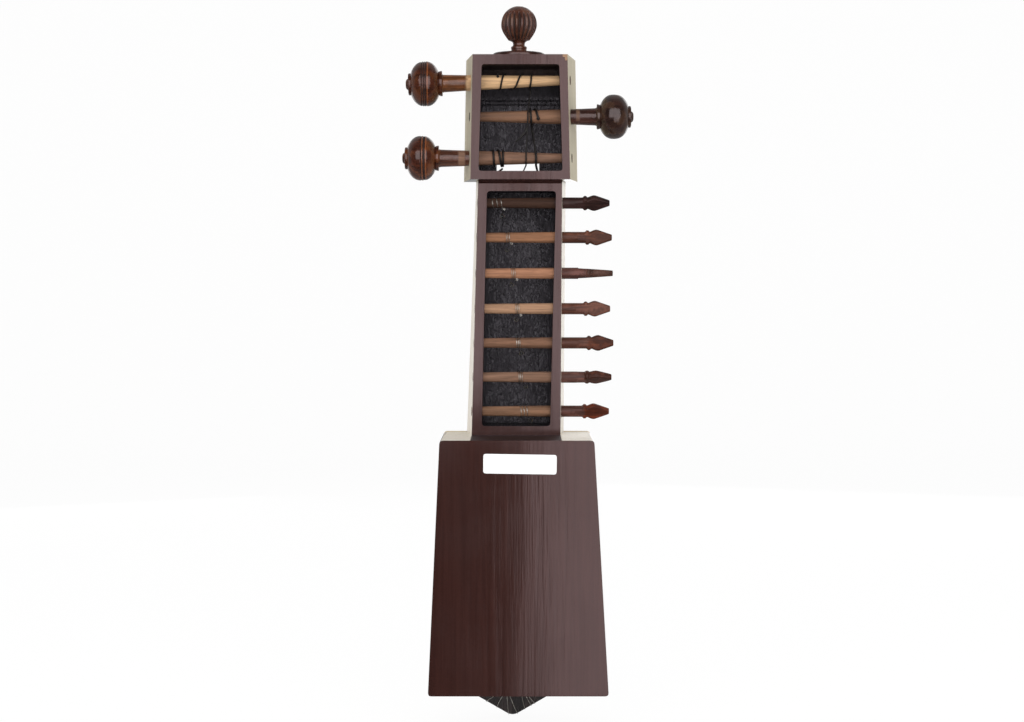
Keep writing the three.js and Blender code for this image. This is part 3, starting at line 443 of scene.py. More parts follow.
def block_zone(middle, normal):
    """The finish of each face of the block, by the place of its middle and the way it looks:
    0 lacquer, 1 ivory, 2 black paint, 3 raw wood."""
    def inside(box):
        low, high = np.transpose(box)
        return ((middle > low) & (middle < high)).all(1)

    x, y, z = middle.T
    zone = np.zeros(len(x), int)
    zone[(abs(normal[:, 0]) > 0.9) | (normal[:, 1] > 0.9)] = 1
    shoulder = (normal[:, 2] > 0.9) & (abs(z - belly_top) < 1.5)
    zone[shoulder & ((x < strip_left) | (x > strip_right) | (y > 4.5))] = 1
    zone[inside(neck_chamber) | inside(peg_box_chamber)] = 2
    zone[inside(string_slot) & (normal[:, 1] < 0.9)] = 2
    zone[inside(belly_hollow)] = 3
    zone[inside(joint_groove) & (abs(normal[:, 0]) < 0.9)] = 0
    return zone


def is_shoulder(face):
    """Whether a face lies on the belly's top."""
    return face.normal.z > 0.9 and abs(face.calc_center_median().z - belly_top * 0.001) < 0.0015


def carved_block(*finishes):
    """The merged copy of the CAD block, cut where the brown strip crosses the shoulders, its faces
    given their finishes, and its back edges and other long sharp edges rounded."""
    form = merged_copy("carved_body")
    for x in (strip_left, strip_right):
        top = [face for face in form.faces if is_shoulder(face)]
        parts = list(dict.fromkeys(part for face in top for part in (face, *face.edges, *face.verts)))
        bmesh.ops.bisect_plane(form, geom=parts, plane_co=(x * 0.001, 0, 0), plane_no=(1, 0, 0))
    weight = form.edges.layers.float.new("bevel_weight_edge")
    for edge in form.edges:
        is_sharp = edge.is_manifold and edge.calc_face_angle(0) > math.radians(40)
        is_back = any(face.normal.y < -0.99 for face in edge.link_faces)
        if is_sharp and edge.is_convex and (is_back or edge.calc_length() > 0.0075):
            edge[weight] = 1
        elif is_sharp:
            edge.smooth = False
    mesh = mesh_of(form, "carved_block")
    zone = block_zone(face_values(mesh, "center") * 1000, face_values(mesh, "normal"))
    made = shown_object("carved_block", mesh, *finishes)
    mesh.polygons.foreach_set("material_index", zone)
    return soften(made, 0.7, weighted=True)


black = material("black_paint", black_paint)
red, light = material("lacquer", lacquer), material("ivory_coat", ivory)
block = carved_block(red, light, black, material("raw_wood", raw_wood))
as_piece(block, "lacquered_wood", "carved_body")


# Parchment. A dried goatskin is glued wet over the open front of the belly, laps down the sides and
# shrinks tight as a drum; the lap's edge lies flush in a step of the block.
def parchment_skin(place):
    """Dried skin: cloudy cream, browner in soft patches, with fine hair pores and a slight cockle."""
    cloud = patches(place, 16.0, 0.45, 0.22)
    spot = patches(place, 90.0, 0.28, 0.05)
    pore = noise(place, 900.0, 2.0)
    colour = blend(cloud, (0.66, 0.55, 0.36), (0.56, 0.42, 0.24))
    colour = blend(ramp(spot, 0, 1, 0, 0.35), colour, (0.40, 0.27, 0.14))
    return {
        "Base Color": blend(ramp(pore, 0.62, 0.75, 0, 0.5), colour, (0.33, 0.22, 0.12)),
        "Roughness": ramp(cloud, 0, 1, 0.42, 0.6), "Subsurface Weight": 0.15,
        "Subsurface Radius": (0.003, 0.002, 0.001), "Normal": bumps((cloud, 0.0006), (pore, 0.00006)),
    }


def finished_copy(name, node, edge, finish):
    """The CAD node's own form with its edges rounded and a finish."""
    return soften(shown_object(name, mesh_of(merged_copy(node), name), finish), edge)


skin = finished_copy("parchment_skin", "parchment", 0.25, material("goatskin", parchment_skin))
as_piece(skin, "parchment", "parchment")


# Strap. A band of thick leather crosses the skin under the bridge and folds over both sides.
def strap_leather(place):
    """Vegetable-tanned leather: fine pebbled grain and darker creases."""
    cells = join("TexVoronoi", {"Vector": place, "Scale": 900.0}, feature="DISTANCE_TO_EDGE")
    pebble = ramp(cells.outputs["Distance"], 0.0, 0.12)
    cloud = patches(place, 45.0, 0.5, 0.2)
    crease = streak(place, (0.15, 1, 1), 180.0, 0.5)
    colour = blend(cloud, (0.135, 0.052, 0.022), (0.20, 0.085, 0.036))
    return {
        "Base Color": blend(ramp(crease, 0.55, 0.7, 0, 0.5), colour, (0.07, 0.028, 0.013)),
        "Roughness": ramp(cloud, 0, 1, 0.48, 0.62),
        "Normal": bumps((pebble, 0.0001), (crease, 0.00018)),
    }


leather = material("strap_leather", strap_leather)
as_piece(finished_copy("bridge_strap", "leather_strap", 0.5, leather), "strap_leather", "leather_strap")


# Nut and bridge. Both are sawn from camel bone; the gut strings lie in grooves along their tops,
# and the wires pass through seven holes in the bridge.
def bone(place):
    """Sawn and polished bone: warm white with short greyish channels and a faint yellow age."""
    channel = streak(place, (0.12, 1, 1), 620.0, 0.3)
    age = patches(place, 60.0, 0.4, 0.2)
    colour = blend(ramp(channel, 0.56, 0.7, 0, 0.6), (0.74, 0.69, 0.56), (0.47, 0.41, 0.30))
    return {
        "Base Color": blend(ramp(age, 0, 1, 0, 0.5), colour, (0.62, 0.50, 0.30)),
        "Roughness": ramp(channel, 0.4, 0.7, 0.24, 0.42), "Subsurface Weight": 0.1,
        "Subsurface Radius": (0.0015, 0.001, 0.0006), "Normal": bumps((channel, 0.00004)),
    }


camel_bone = material("bone", bone)
for node in ("nut", "bridge"):
    as_piece(finished_copy(node + "_bone", node, 0.35, camel_bone), "bone", node)


# Eyelets. Seven small bone tubes lead the wires out through the neck's front board, each with a
# rounded lip to take the wire's bend.
def rounded_line(corners):
    """A line through corners [x, y, rounding]: each becomes the quadratic curve between the points
    one rounding before and after it."""
    corners = np.asarray(corners, float)
    place, reach = corners[:, :2], corners[:, 2:]
    step = np.diff(place, axis=0)
    step /= np.maximum(np.linalg.norm(step, axis=1, keepdims=True), 1e-9)
    back = place - np.vstack([step[:1], step]) * reach
    on = place + np.vstack([step, step[-1:]]) * reach
    t = np.linspace(0, 1, 9)[None, :, None]
    curve = (1 - t) ** 2 * back[:, None] + 2 * t * (1 - t) * place[:, None] + t ** 2 * on[:, None]
    return curve.reshape(-1, 2)


def evenly(line, step):
    """The same line or path with its points a step apart along it."""
    gap = np.linalg.norm(np.diff(line, axis=0), axis=1)
    keep = np.concatenate([[True], gap > 1e-7])
    line, length = line[keep], np.concatenate([[0], np.cumsum(gap)])[keep]
    at = np.linspace(0, length[-1], int(length[-1] / step) + 2)
    return np.stack([np.interp(at, length, column) for column in line.T], -1)


def round_angles(columns):
    """One row of angles all the way round."""
    return np.linspace(0, 2 * math.pi, columns, endpoint=False)[None]


def turned(profile, columns, swell=0.0):
    """A profile of [place on the axis, radius] carried round the first axis: (p, -r cos a, -r sin a).
    The radius may be changed by a swell for every row and angle."""
    angle = round_angles(columns)
    radius = profile[:, 1:] + swell * np.ones_like(angle)
    place = profile[:, :1] * np.ones_like(angle)
    return np.stack([place, -radius * np.cos(angle), -radius * np.sin(angle)], -1)


def about_y(section, x, z):
    """A section turned about a line along Y."""
    return turned(section, 24)[..., [1, 0, 2]] + (x, 0, z)


def round_piece(name, points, *finishes):
    """A closed piece from a grid whose columns go all the way round: its coinciding points are
    merged and its faces turned outwards."""
    mesh = grid_mesh(name, points, wraps=True)
    form = bmesh.new()
    form.from_mesh(mesh)
    bmesh.ops.remove_doubles(form, verts=form.verts, dist=1e-7)
    flat = [face for face in form.faces if face.calc_area() < 1e-14]
    bmesh.ops.delete(form, geom=flat, context="FACES_ONLY")
    bmesh.ops.recalc_face_normals(form, faces=form.faces)
    form.to_mesh(mesh)
    form.free()
    return shown_object(name, mesh, *finishes)


# The section's line returns to its start, so the tube is closed inside too
eyelet_section = evenly(rounded_line([
    (52.5, 1.5, 0), (58.8, 1.5, 0.05), (58.8, 2.6, 0.2), (59.6, 2.6, 0.5), (60, 1.4, 0.5),
    (60, 0.85, 0.3), (58.6, 0.85, 0), (58.2, 0.33, 0), (54.6, 0.33, 0), (53.4, 0.85, 0.1),
    (52.5, 0.85, 0), (52.5, 1.5, 0),
]), 0.15)
spear_joints = [joint for joint in frame["joints"] if joint["child"].startswith("sympathetic")]
peg_heights = [joint["pos_m"][2] * 1000 for joint in spear_joints]
spear_depth = spear_joints[0]["pos_m"][1] * 1000
eyelet_places = [(-14.5 + 4.3 * number, height - 10.5) for number, height in enumerate(peg_heights)]
for number, place in enumerate(eyelet_places):
    name = f"eyelet_{number + 1}"
    made = round_piece("bone_" + name, about_y(eyelet_section, *place), camel_bone, black)
    is_inner = face_values(made.data, "center")[:, 1] < 0.0585
    made.data.polygons.foreach_set("material_index", is_inner.astype(np.int32))
    as_piece(made, "bone", name)


# Tail plate. A thick plate of dark wood is nailed over the skin at the foot; the gut strings are
# knotted behind it, and the wires go round its pointed edge to two pins at its back.
def dark_wood(place):
    """Near-black hard wood, scraped and waxed: straight fine pores and faint brown streaks."""
    pore = streak(place, (1, 1, 0.05), 520.0, 0.2)
    figure = streak(place, (1, 1, 0.09), 90.0, 0.8)
    colour = blend(ramp(figure, 0.35, 0.65), (0.012, 0.0075, 0.0075), (0.034, 0.021, 0.019))
    return {
        "Base Color": blend(ramp(pore, 0.58, 0.7, 0, 0.6), colour, (0.006, 0.004, 0.004)),
        "Roughness": ramp(pore, 0.4, 0.7, 0.26, 0.45), "Normal": bumps((pore, 0.00005)),
    }


def metal(place, low, high, roughness):
    """Drawn or cast metal with a thin uneven tarnish."""
    tarnish = patches(place, 350.0, 0.5, 0.2)
    return {
        "Base Color": blend(tarnish, high, low), "Metallic": 1,
        "Roughness": ramp(tarnish, 0, 1, roughness, roughness + 0.2),
    }


plate = finished_copy("tail_wood", "tail_plate", 0.4, material("dark_wood", dark_wood))
as_piece(plate, "dark_wood", "tail_plate")
brass = material("brass", metal, (0.30, 0.19, 0.07), (0.62, 0.42, 0.16), 0.28)
steel = material("steel_wire", metal, (0.36, 0.33, 0.29), (0.66, 0.64, 0.60), 0.25)
nail_section = evenly(rounded_line([
    (49, 0, 0), (51.2, 1.1, 0.2), (65.3, 1.1, 0), (65.3, 2.8, 0), (65.9, 2.75, 0.3),
    (66.7, 1.6, 0.9), (66.8, 0, 0),
]), 0.2)
pin_section = evenly(rounded_line([
    (54, 0, 0), (54, 1.9, 0.3), (54.9, 1.9, 0.3), (55, 1.2, 0.1), (64, 1.2, 0.1), (64, 0, 0),
]), 0.2)
tail_shift = -5.2
nails = [(tail_shift + x, 7) for x in (-31, 0, 31)]
pins = [(-12.51, -14.58), (-1.21, -10.1)]
for kind, section, places in (("tail_nail", nail_section, nails), ("wire_pin", pin_section, pins)):
    for number, place in enumerate(places):
        name = f"{kind}_{number + 1}"
        as_piece(round_piece("brass_" + name, about_y(section, *place), brass), "brass", name)


# Main pegs. Three turned pegs of red cedar go through both walls of the peg box. The knobs are stained
# dark and polished, the shafts are paler outside and bare inside; two knobs have three fine rings.
def tone(colour, factor):
    """A colour made lighter or darker by a factor."""
    return tuple(part * factor for part in colour)


def turned_wood(place, bare, shaft, knob, patch, along=(0.06, 1, 1), gloss=0.16, shine=0.5):
    """Turned wood with its grain along one axis. The attribute 'stain' takes it from the bare wood (0)
    over the stained shaft (0.5) to the polished knob (1), which has patches of its own colour. The
    attribute 'groove' darkens it with painted shade in grooves and valleys (1), or shows rubbed
    orange wood (-1)."""
    stain, groove = (
        add(place.id_data, "Attribute", attribute_name=label).outputs["Fac"]
        for label in ("stain", "groove"))
    grain = streak(place, along, 210.0, 0.7)
    pore = streak(place, along, 850.0, 0.2)
    mottle = patches(place, 95.0, 0.46, 0.1)
    ragged = calc("MULTIPLY_ADD", grain, 0.35, calc("MULTIPLY_ADD", mottle, 0.16, stain))
    figure = ramp(grain, 0.36, 0.64)
    inner = blend(figure, tone(bare, 0.72), tone(bare, 1.25))
    inner = blend(ramp(pore, 0.56, 0.68, 0, 0.6), inner, tone(bare, 0.42))
    outer = blend(figure, tone(shaft, 0.5), tone(shaft, 1.4))
    outer = blend(ramp(mottle, 0, 1, 0, 0.6), outer, tone(shaft, 0.55))
    head = blend(figure, tone(knob, 0.55), tone(knob, 1.5))
    head = blend(ramp(mottle, 0, 1, 0, 0.75), head, patch)
    colour = blend(ramp(ragged, 0.36, 0.56), inner, outer)
    colour = blend(ramp(ragged, 0.9, 1.1), colour, head)
    # Painted shade in the knobs' ring grooves and the finial's valleys
    colour = blend(ramp(groove, 0.1, 1, 0, 0.9), colour, tone(knob, 0.12))
    polish = ramp(ragged, 0.3, 0.7, 0.75, gloss)
    return {
        "Base Color": blend(ramp(groove, -0.1, -1, 0, 0.5), colour, (0.27, 0.085, 0.028)),
        "Roughness": mix(ramp(groove, 0.1, 0.6), polish, 0.7), "Specular IOR Level": shine,
        "Specular Tint": (1.0, 0.85, 0.85, 1), "Normal": bumps((mottle, 0.00012), (grain, 0.0001)),
    }


def places_of(made):
    """The X, Y and Z of a piece's points in millimetres."""
    place = np.empty(len(made.data.vertices) * 3, np.float32)
    made.data.vertices.foreach_get("co", place)
    return place.reshape(-1, 3).T * 1000


def store(made, name, values):
    """Keeps one value for each point of a piece under a name that its material reads."""
    layer = made.data.attributes.new(name, "FLOAT", "POINT")
    layer.data.foreach_set("value", values.astype(np.float32))


def store_stain(made, marks):
    """Stores the stain at every point, straight between marks (distance from the middle, stain)."""
    store(made, "stain", np.interp(places_of(made)[0], *np.transpose(marks)))


def bells(values, middles, width):
    """The sum of bell curves exp(-((v - middle) / width)^2) over their middles."""
    return np.exp(-((values - np.array([middles])) / width) ** 2).sum(1)


knob_length, knob_middle = 32.4, 15.3
half_round, round_radius = 12.3, 19.75


def knob_profile(flange, tip, shaft_radius, rings):
    """From the small dome, over the cap and the full round, to the flange and down the shaft. The
    round is r = R (1 - 0.72 |u|^2.4)^0.5 for u from -1 to 1, less a fine groove at each ring."""
    u = np.linspace(-1, 1, 160)
    radius = round_radius * np.sqrt(1 - 0.72 * abs(u) ** 2.4)
    radius -= 0.5 * bells(half_round * u[:, None], rings, 0.4)
    round_part = np.stack([half_round * u - flange - knob_middle, radius], -1)
    front = rounded_line([
        (0, 0, 0), (0, 4.2, 2.2), (2.3, 5.2, 0), (2.3, 8.9, 0), (2.6, 9.75, 0.7), (4.2, 9.75, 0.5),
        (4.8, 9.5, 0),
    ]) - (flange + knob_length, 0)
    back = rounded_line([
        (-3, 10.2, 0), (-2.7, 10.7, 0.3), (-0.6, 11.2, 0.4), (0, 10.9, 0.2), (0, 8.4, 0),
        (0.9, shaft_radius(-flange), 0.6), (2, shaft_radius(-flange + 2), 0),
    ]) - (flange, 0)
    shaft = np.linspace(-flange + 2, tip, 60)
    shaft = np.stack([shaft, shaft_radius(shaft)], -1)
    close = np.array([(tip, 3.2), (tip, 0)])
    return evenly(np.vstack([front, round_part, back, shaft, close]), 0.3)


class MainPeg:
    """A main peg's sizes: its side, its flange's distance from the middle and its shaft's taper."""

    def __init__(self, name, side, stand):
        self.name = name
        self.body = name + "_peg"
        self.node = "peg_" + name
        low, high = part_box(self.node)
        head, self.tip = [-low.x * 1000, high.x * 1000][::-side]
        self.side = side
        self.flange = head - knob_length
        self.wall = self.flange - stand
        joint = next(joint for joint in frame["joints"] if joint["child"] == self.body)
        self.centre = np.array(joint["pos_m"]) * 1000
        self.axis = np.array(joint["axis"])

    def radius(self, along):
        """The shaft narrows in a straight line from flange to wall, and in another from wall to tip."""
        places = [-self.flange, -self.wall, self.tip]
        return np.interp(along, places, [7.75, 6.7, 3.9])

    def place(self, points):
        """Points of the peg's own frame, its axis turned as the joint says, at its centre."""
        x, y, z = np.moveaxis(points, -1, 0)
        run, rise = self.axis[0], self.axis[2]
        return np.stack([x * run - z * rise, y, x * rise + z * run], -1) + self.centre


upper, right, lower = main_pegs = [
    MainPeg("upper_left", -1, 24.4), MainPeg("right", 1, 22.6), MainPeg("lower_left", -1, 26.2),
]
colours_of = [
    [(0.47, 0.295, 0.155), (0.115, 0.040, 0.0135), (0.033, 0.0085, 0.0038), (0.07, 0.021, 0.0065)],
    [(0.145, 0.073, 0.04), (0.036, 0.014, 0.0105), (0.017, 0.0075, 0.0058), (0.042, 0.021, 0.0125)],
    [(0.155, 0.082, 0.05), (0.065, 0.024, 0.0135), (0.034, 0.0095, 0.005), (0.10, 0.031, 0.0105)],
]
rings_of = [(-2.7, -0.8, 0.8), (), (-0.2, 1.9, 2.9)]
rubbed_of = [(2.6,), (), (0.8, 4.0)]
stain_of = [
    [(-1.0, 0), (5.5, 0.45), (22.4, 0.55), (25.4, 1)],
    [(-6.0, 0), (-1.5, 0.5), (3.0, 0.5), (4.5, 0.27), (7.0, 0.27), (8.5, 0.5), (20.6, 0.55), (23.6, 1)],
    [(-6.0, 0), (-1.5, 0.5), (2.2, 0.5), (3.7, 0.2), (8.2, 0.2), (10.7, 0.5), (24.2, 0.6), (27.2, 1)],
]
for peg, colours, rings, rubbed, marks in zip(main_pegs, colours_of, rings_of, rubbed_of, stain_of):
    profile = knob_profile(peg.flange, peg.tip, peg.radius, rings)
    x, angle = profile[:, :1], round_angles(96)
    unevenness = 0.006 * np.sin(2 * angle + 0.05 * x) + 0.004 * np.sin(5 * angle - 0.11 * x)
    points = turned(profile, 96, unevenness * profile[:, 1:])
    if peg.side > 0:
        points[..., 0] *= -1
    wood = material("cedar_" + peg.name, turned_wood, *colours)
    made = round_piece("knob_peg_" + peg.name, peg.place(points), wood)
    store_stain(made, sorted((peg.side * (peg.wall + out), value) for out, value in marks))
    along = places_of(made)[0][:, None] - peg.side * (peg.flange + knob_middle)
    # The rings' grooves get painted shade, and the rubbed bands show orange wood
    store(made, "groove", bells(along, rings, 0.45) - bells(along, rubbed, 0.6))
    as_piece(made, "turned_wood", peg.node, body=peg.body)


# Gut windings. Each string starts with a knot in the hole across its peg's shaft, and winds round the
# bare wood; it is dyed black and twisted from many strands.
def dyed_gut(place):
    """Black dyed gut: the twist shows as slanting ridges, and the high strands are rubbed brown."""
    way = add(place.id_data, "UVMap", uv_map="surface").outputs[0]
    around, along, _ = axes(stretched(way, (6, 800, 1)))
    ridge = calc("SINE", calc("MULTIPLY", calc("ADD", around, along), 2 * math.pi))
    fray = noise(place, 900.0, 3.0)
    rubbed = ramp(fray, 0.45, 0.8, 0, 0.7)
    return {
        "Base Color": blend(rubbed, (0.006, 0.005, 0.005), (0.035, 0.024, 0.019)), "Roughness": 0.4,
        "Specular IOR Level": 0.3, "Normal": bumps((ridge, 0.00006), (fray, 0.00008)),
    }


def tube(path, radius, columns=12):
    """A round section carried along a path. Each ring stands square to the path, turned so that its
    first point looks away from one fixed direction that the path never takes; both ends are domed."""
    tangent = np.gradient(path, axis=0)
    tangent /= np.linalg.norm(tangent, axis=1, keepdims=True)
    across = np.cross(tangent, (0.87, 0.32, 0.37))
    across /= np.linalg.norm(across, axis=1, keepdims=True)
    other = np.cross(tangent, across)
    angle = round_angles(columns)[..., None]
    ring = across[:, None] * np.cos(angle) + other[:, None] * np.sin(angle)
    radius = np.broadcast_to(np.asarray(radius, float), len(path))[:, None, None]
    body = path[:, None] + ring * radius
    lift = np.array([1.0, 0.8, 0.45])[:, None, None]
    width = np.array([0.0, 0.6, 0.9])[:, None, None]
    first = path[0] - tangent[0] * lift * radius[0] + ring[0][None] * width * radius[0]
    last = path[-1] + tangent[-1] * lift[::-1] * radius[-1] + ring[-1][None] * width[::-1] * radius[-1]
    return np.concatenate([first, body, last])


path_step = 0.25


def eased(path, reach):
    """A path with its bends rounded: each point is the mean of those within a reach on both sides."""
    path = evenly(path, path_step)
    count = int(reach / path_step)
    padded = np.pad(path, ((count, count), (0, 0)), mode="reflect", reflect_type="odd")
    kernel = np.ones(2 * count + 1) / (2 * count + 1)
    return np.stack([np.convolve(column, kernel, "valid") for column in padded.T], -1)


def helix(radius, start, stop, turns, hand=1, leave=0.2, advance=lambda share: share):
    """x goes from start to stop while the angle goes through the turns and ends at a share of a turn
    past the viewer's side: (x, -r cos a, -hand r sin a)."""
    share = np.linspace(0, 1, int(turns * 48) + 1)
    x = start + (stop - start) * advance(share)
    angle = 2 * math.pi * (turns * share - turns + leave)
    return np.stack([x, -radius(x) * np.cos(angle), -hand * radius(x) * np.sin(angle)], -1)


def eased_share(share):
    """Slow at both ends: s^3 (6 s^2 - 15 s + 10)."""
    return share ** 3 * (share * (6 * share - 15) + 10)


def settling_share(share):
    """Fast at first, slow at the end: 1 - (1 - s)^2.5."""
    return 1 - (1 - share) ** 2.5


def early_share(share):
    """The slow, fast, slow course, finished a tenth before the end."""
    return eased_share(np.minimum(1.12 * share, 1))


# Each winding's thickness, start, stop, turns, hand, leave and advance, and whether its first end
# dips into the shaft
gut = material("dyed_gut", dyed_gut)
windings = [
    ("first", True, 0.8, -17.886, 12.188, 3.437, -1, 0.56, eased_share),
    ("second", False, 1.0, 17.64, 10.5, 1.617, -1, 0.56, settling_share),
    ("third", True, 0.95, -22.2, -13.414, 2.75, 1, 0.25, early_share),
]
for peg, (name, is_sunk, thickness, *course) in zip(main_pegs, windings):
    def lying(x):
        """Distance of the gut's middle from the axis where it lies on the shaft."""
        return peg.radius(-x * peg.side) + 0.3 + 0.9 * thickness

    path = helix(lying, *course)
    if is_sunk:
        inward = path[0] * (0, 1, 1) / np.linalg.norm(path[0, 1:])
        path = np.vstack([path[0] - np.array([[4.0], [1.5], [0.5]]) * inward, path])
    path = eased(path, 0.75)
    knot_at = 15 if is_sunk else 3
    knot = 0.55 * np.exp(-((np.arange(len(path)) - knot_at) * path_step / 0.9) ** 2)
    made = round_piece("gut_winding_" + name, peg.place(tube(path, thickness * (1 + knot), 14)), gut)
    as_piece(made, "gut", "winding_" + name, body=peg.body)


# Sympathetic pegs. Seven thin pegs run through the neck, their heads carved like spear points:
# turned first, then planed flat on two faces. Each piece of wood has its own colour.
class SpearPeg:
    """A sympathetic peg's sizes, from its share of the neck's height."""

    def __init__(self, number, turned_by, wind_share, pitch, bare, shaft, head):
        self.number = number
        self.body = f"sympathetic_{number}"
        self.node = f"sympathetic_peg_{number}"
        self.z = peg_heights[number - 1]
        up = (self.z - belly_top) / neck_rise
        low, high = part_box(self.node)
        self.left = low.x * 1000
        self.point = high.x * 1000
        forward = 1 - (58.5 - spear_depth) / 54
        self.right = strip_right + 1.3 * up + forward * (3.7 + 0.5 * up)
        self.turned_by = math.radians(turned_by)
        chamber_left = -32.1 + 4.6 * up
        chamber_right = 28 + 5.1 * up
        self.wind = chamber_left + (chamber_right - chamber_left) * (1 + wind_share) / 2
        self.pitch = pitch
        self.colours = (bare, shaft, head, tone(head, 0.5))

    def radius(self, x):
        """The shaft widens in a straight line from its tip to the right wall."""
        return 4.1 + 0.9 * (x - self.left) / (self.right - self.left)


def spear_points(peg):
    """The turned profile gives each row's half width w. Across the blade the row is drawn in to a
    half thickness f: depth = f s / (1 + |s|^12)^(1/12) with s = w cos(a) / f, so that the flats are
    flat and meet the round in an edge. The section is then turned about the axis."""
    tip, wall = peg.left - peg.point, peg.right - peg.point
    profile = evenly(rounded_line([
        (tip, 0, 0), (tip, 4.1, 0.5), (wall, 5, 0), (-32.2, 5, 4), (-23.6, 5, 0.8), (-22.5, 6.4, 0.4),
        (-20.7, 6.4, 0.5), (-19.4, 5, 0.8), (-16.5, 6.35, 1.5), (-13.5, 7.2, 1.6), (-0.3, 2.65, 0.3),
        (0, 2.3, 0.3), (0, 0, 0),
    ]), 0.35)
    x, width = profile.T[..., None]
    flat = np.interp(x, [-32.2, 0], [4.7, 2.5])
    flat += 60 * np.clip((-30.5 - x) / 4, 0, 1)
    angle = round_angles(64)
    share = width * np.cos(angle) / flat
    depth = flat * share / (1 + abs(share) ** 12) ** (1 / 12)
    height = width * np.sin(angle)
    c, s = math.cos(peg.turned_by), math.sin(peg.turned_by)
    points = np.stack([x + 0 * angle, depth * c - height * s, depth * s + height * c], -1)
    return points + (peg.point, spear_depth, peg.z)


spear_pegs = [SpearPeg(number + 1, *sizes) for number, sizes in enumerate([
    (33, -0.542, 3.92, (0.036, 0.017, 0.0105), (0.03, 0.013, 0.012), (0.022, 0.009, 0.0075)),
    (0, -0.305, 1.4, (0.222, 0.107, 0.057), (0.075, 0.027, 0.016), (0.075, 0.022, 0.009)),
    (90, -0.119, 1.4, (0.306, 0.148, 0.085), (0.085, 0.035, 0.028), (0.05, 0.022, 0.016)),
    (0, 0.02, 1.4, (0.285, 0.165, 0.10), (0.08, 0.03, 0.02), (0.08, 0.03, 0.018)),
    (5, 0.068, 1.4, (0.148, 0.077, 0.047), (0.08, 0.03, 0.02), (0.065, 0.016, 0.006)),
    (58, 0.157, 1.4, (0.17, 0.096, 0.063), (0.09, 0.04, 0.032), (0.055, 0.018, 0.011)),
    (20, 0.334, 2.66, (0.178, 0.095, 0.056), (0.065, 0.026, 0.02), (0.07, 0.014, 0.005)),
])]
wire_radius, wire_turns, wires_with_eyes = 0.25, 2.6, 4
for peg in spear_pegs:
    name = f"cedar_spear_{peg.number}"
    wood = material(name, turned_wood, *peg.colours, gloss=0.42, shine=0.2)
    made = round_piece(f"spear_peg_{peg.number}", spear_points(peg), wood)
    wall, point = peg.right, peg.point
    store_stain(made, [(wall - 9, 0), (wall - 3, 0.5), (point - 27, 0.5), (point - 19, 1)])
    as_piece(made, "turned_wood", peg.node, body=peg.body)
    start = peg.wind - wire_turns * peg.pitch
    wound = helix(lambda x: peg.radius(x) + 0.5, start, peg.wind, wire_turns)
    if peg.number <= wires_with_eyes:
        turn = 2 * math.pi * np.linspace(0, 1.1, 15)
        eye = np.stack([1.5 + 0.8 * np.sin(turn), -0.1 * turn, -0.8 * (1 - np.cos(turn))], -1)
        wound = eased(np.vstack([wound, wound[-1] + eye]), 0.25)
    points = tube(wound + (0, spear_depth, peg.z), wire_radius, 8)
    made = round_piece(f"wire_wound_{peg.number}", points, steel)
    as_piece(made, "steel_wire", f"wire_winding_{peg.number}", body=peg.body)


# Gut strings. Each leaves its peg, passes round the pegs below, and goes out by the slot over the
# nut and the bridge to a knot behind the tail plate.
def round_peg(peg, x, standoff, start, stop, steps):
    """Points round a peg at a place along X, from one share of a turn to another, counted down past
    its viewer's side."""
    angle = 2 * math.pi * np.linspace(start, stop, steps + 1)
    radius = peg.radius(-x * peg.side) + standoff
    z = peg.centre[2] + x * peg.axis[2] / peg.axis[0]
    y = peg.centre[1] - radius * np.cos(angle)
    return np.stack([x + 0 * angle, y, z - radius * np.sin(angle)], -1)


plate_back = 57.3


def gut_tail(radius, step):
    """The gut's way from the slot's foot: over the nut, over the bridge and through the tail plate."""
    nut_x, bridge_x, tail_x = 2.4 + 13.9 * step, -1.5 + 13.5 * step, -6 + 14 * step
    reach = radius + 0.5
    return np.array([
        (nut_x, 67.0, 441.5), (nut_x, 67.0, 434.5), (bridge_x, 84.3, 90.0), (bridge_x, 84.3, 82.0),
        (tail_x, 65 + 2 * reach, -4 + reach), (tail_x, 65, -4), (tail_x, plate_back, -4),
    ])


routes = [
    ("first", 0.65, 0, [
        round_peg(upper, 11.188, 3.05, 0.5, 0.44, 2), round_peg(right, 8.463, 1.15, -0.07, 0.01, 2),
        round_peg(lower, 6.808, 1.15, -0.06, 0.235, 6), [(4.394, 60.5, 452.5)],
    ]),
    ("second", 1.0, 1, [
        round_peg(right, 11.2, 4.1, 0.5, 0.44, 2), round_peg(lower, 15.61, 1.5, -0.06, 0.235, 6),
        [(17.3, 60.5, 452.5)],
    ]),
    ("third", 0.85, -1, [round_peg(lower, -14.21, 3.65, 0.24, 0.25, 1), [(-17.61, 60.5, 452.5)]]),
]
knot_length = 4.8
for name, radius, step, start in routes:
    path = eased(np.vstack([*start, gut_tail(radius, step)]), 0.75)
    behind = plate_back + knot_length / 2 - path[:, 1]
    knot_share = np.clip(behind / knot_length, 0, 1) * (path[:, 2] < 0)
    thickness = radius + 1.6 * np.sin(math.pi * knot_share) ** 0.7 * (knot_share > 0)
    as_piece(round_piece("gut_" + name, tube(path, thickness), gut), "gut", "gut_string_" + name)

# The spare end of the first string's knot hangs beside it
spare_marks = [(7.5, 12.6, 488.2), (6.6, 12.3, 485.4), (2.6, 12.0, 480.6), (-1.6, 12.6, 477.0)]
spare = eased(np.array(spare_marks), 1.0)
swelling = 1.05 + 0.45 * np.exp(-(np.linspace(-0.3, 3, len(spare))) ** 2)
as_piece(round_piece("spare_end", tube(spare, swelling), gut), "gut")


# Wires. Seven thin steel wires ring by themselves: each goes from its peg through its eyelet and the
# bridge, over the plate's edge and round one of the pins behind it.
plate_half, plate_tip, plate_slope = 42, -40.4, 24.2
edge_shares = (-0.562, -0.34, -0.083, 0.11, 0.267, 0.405, 0.481)


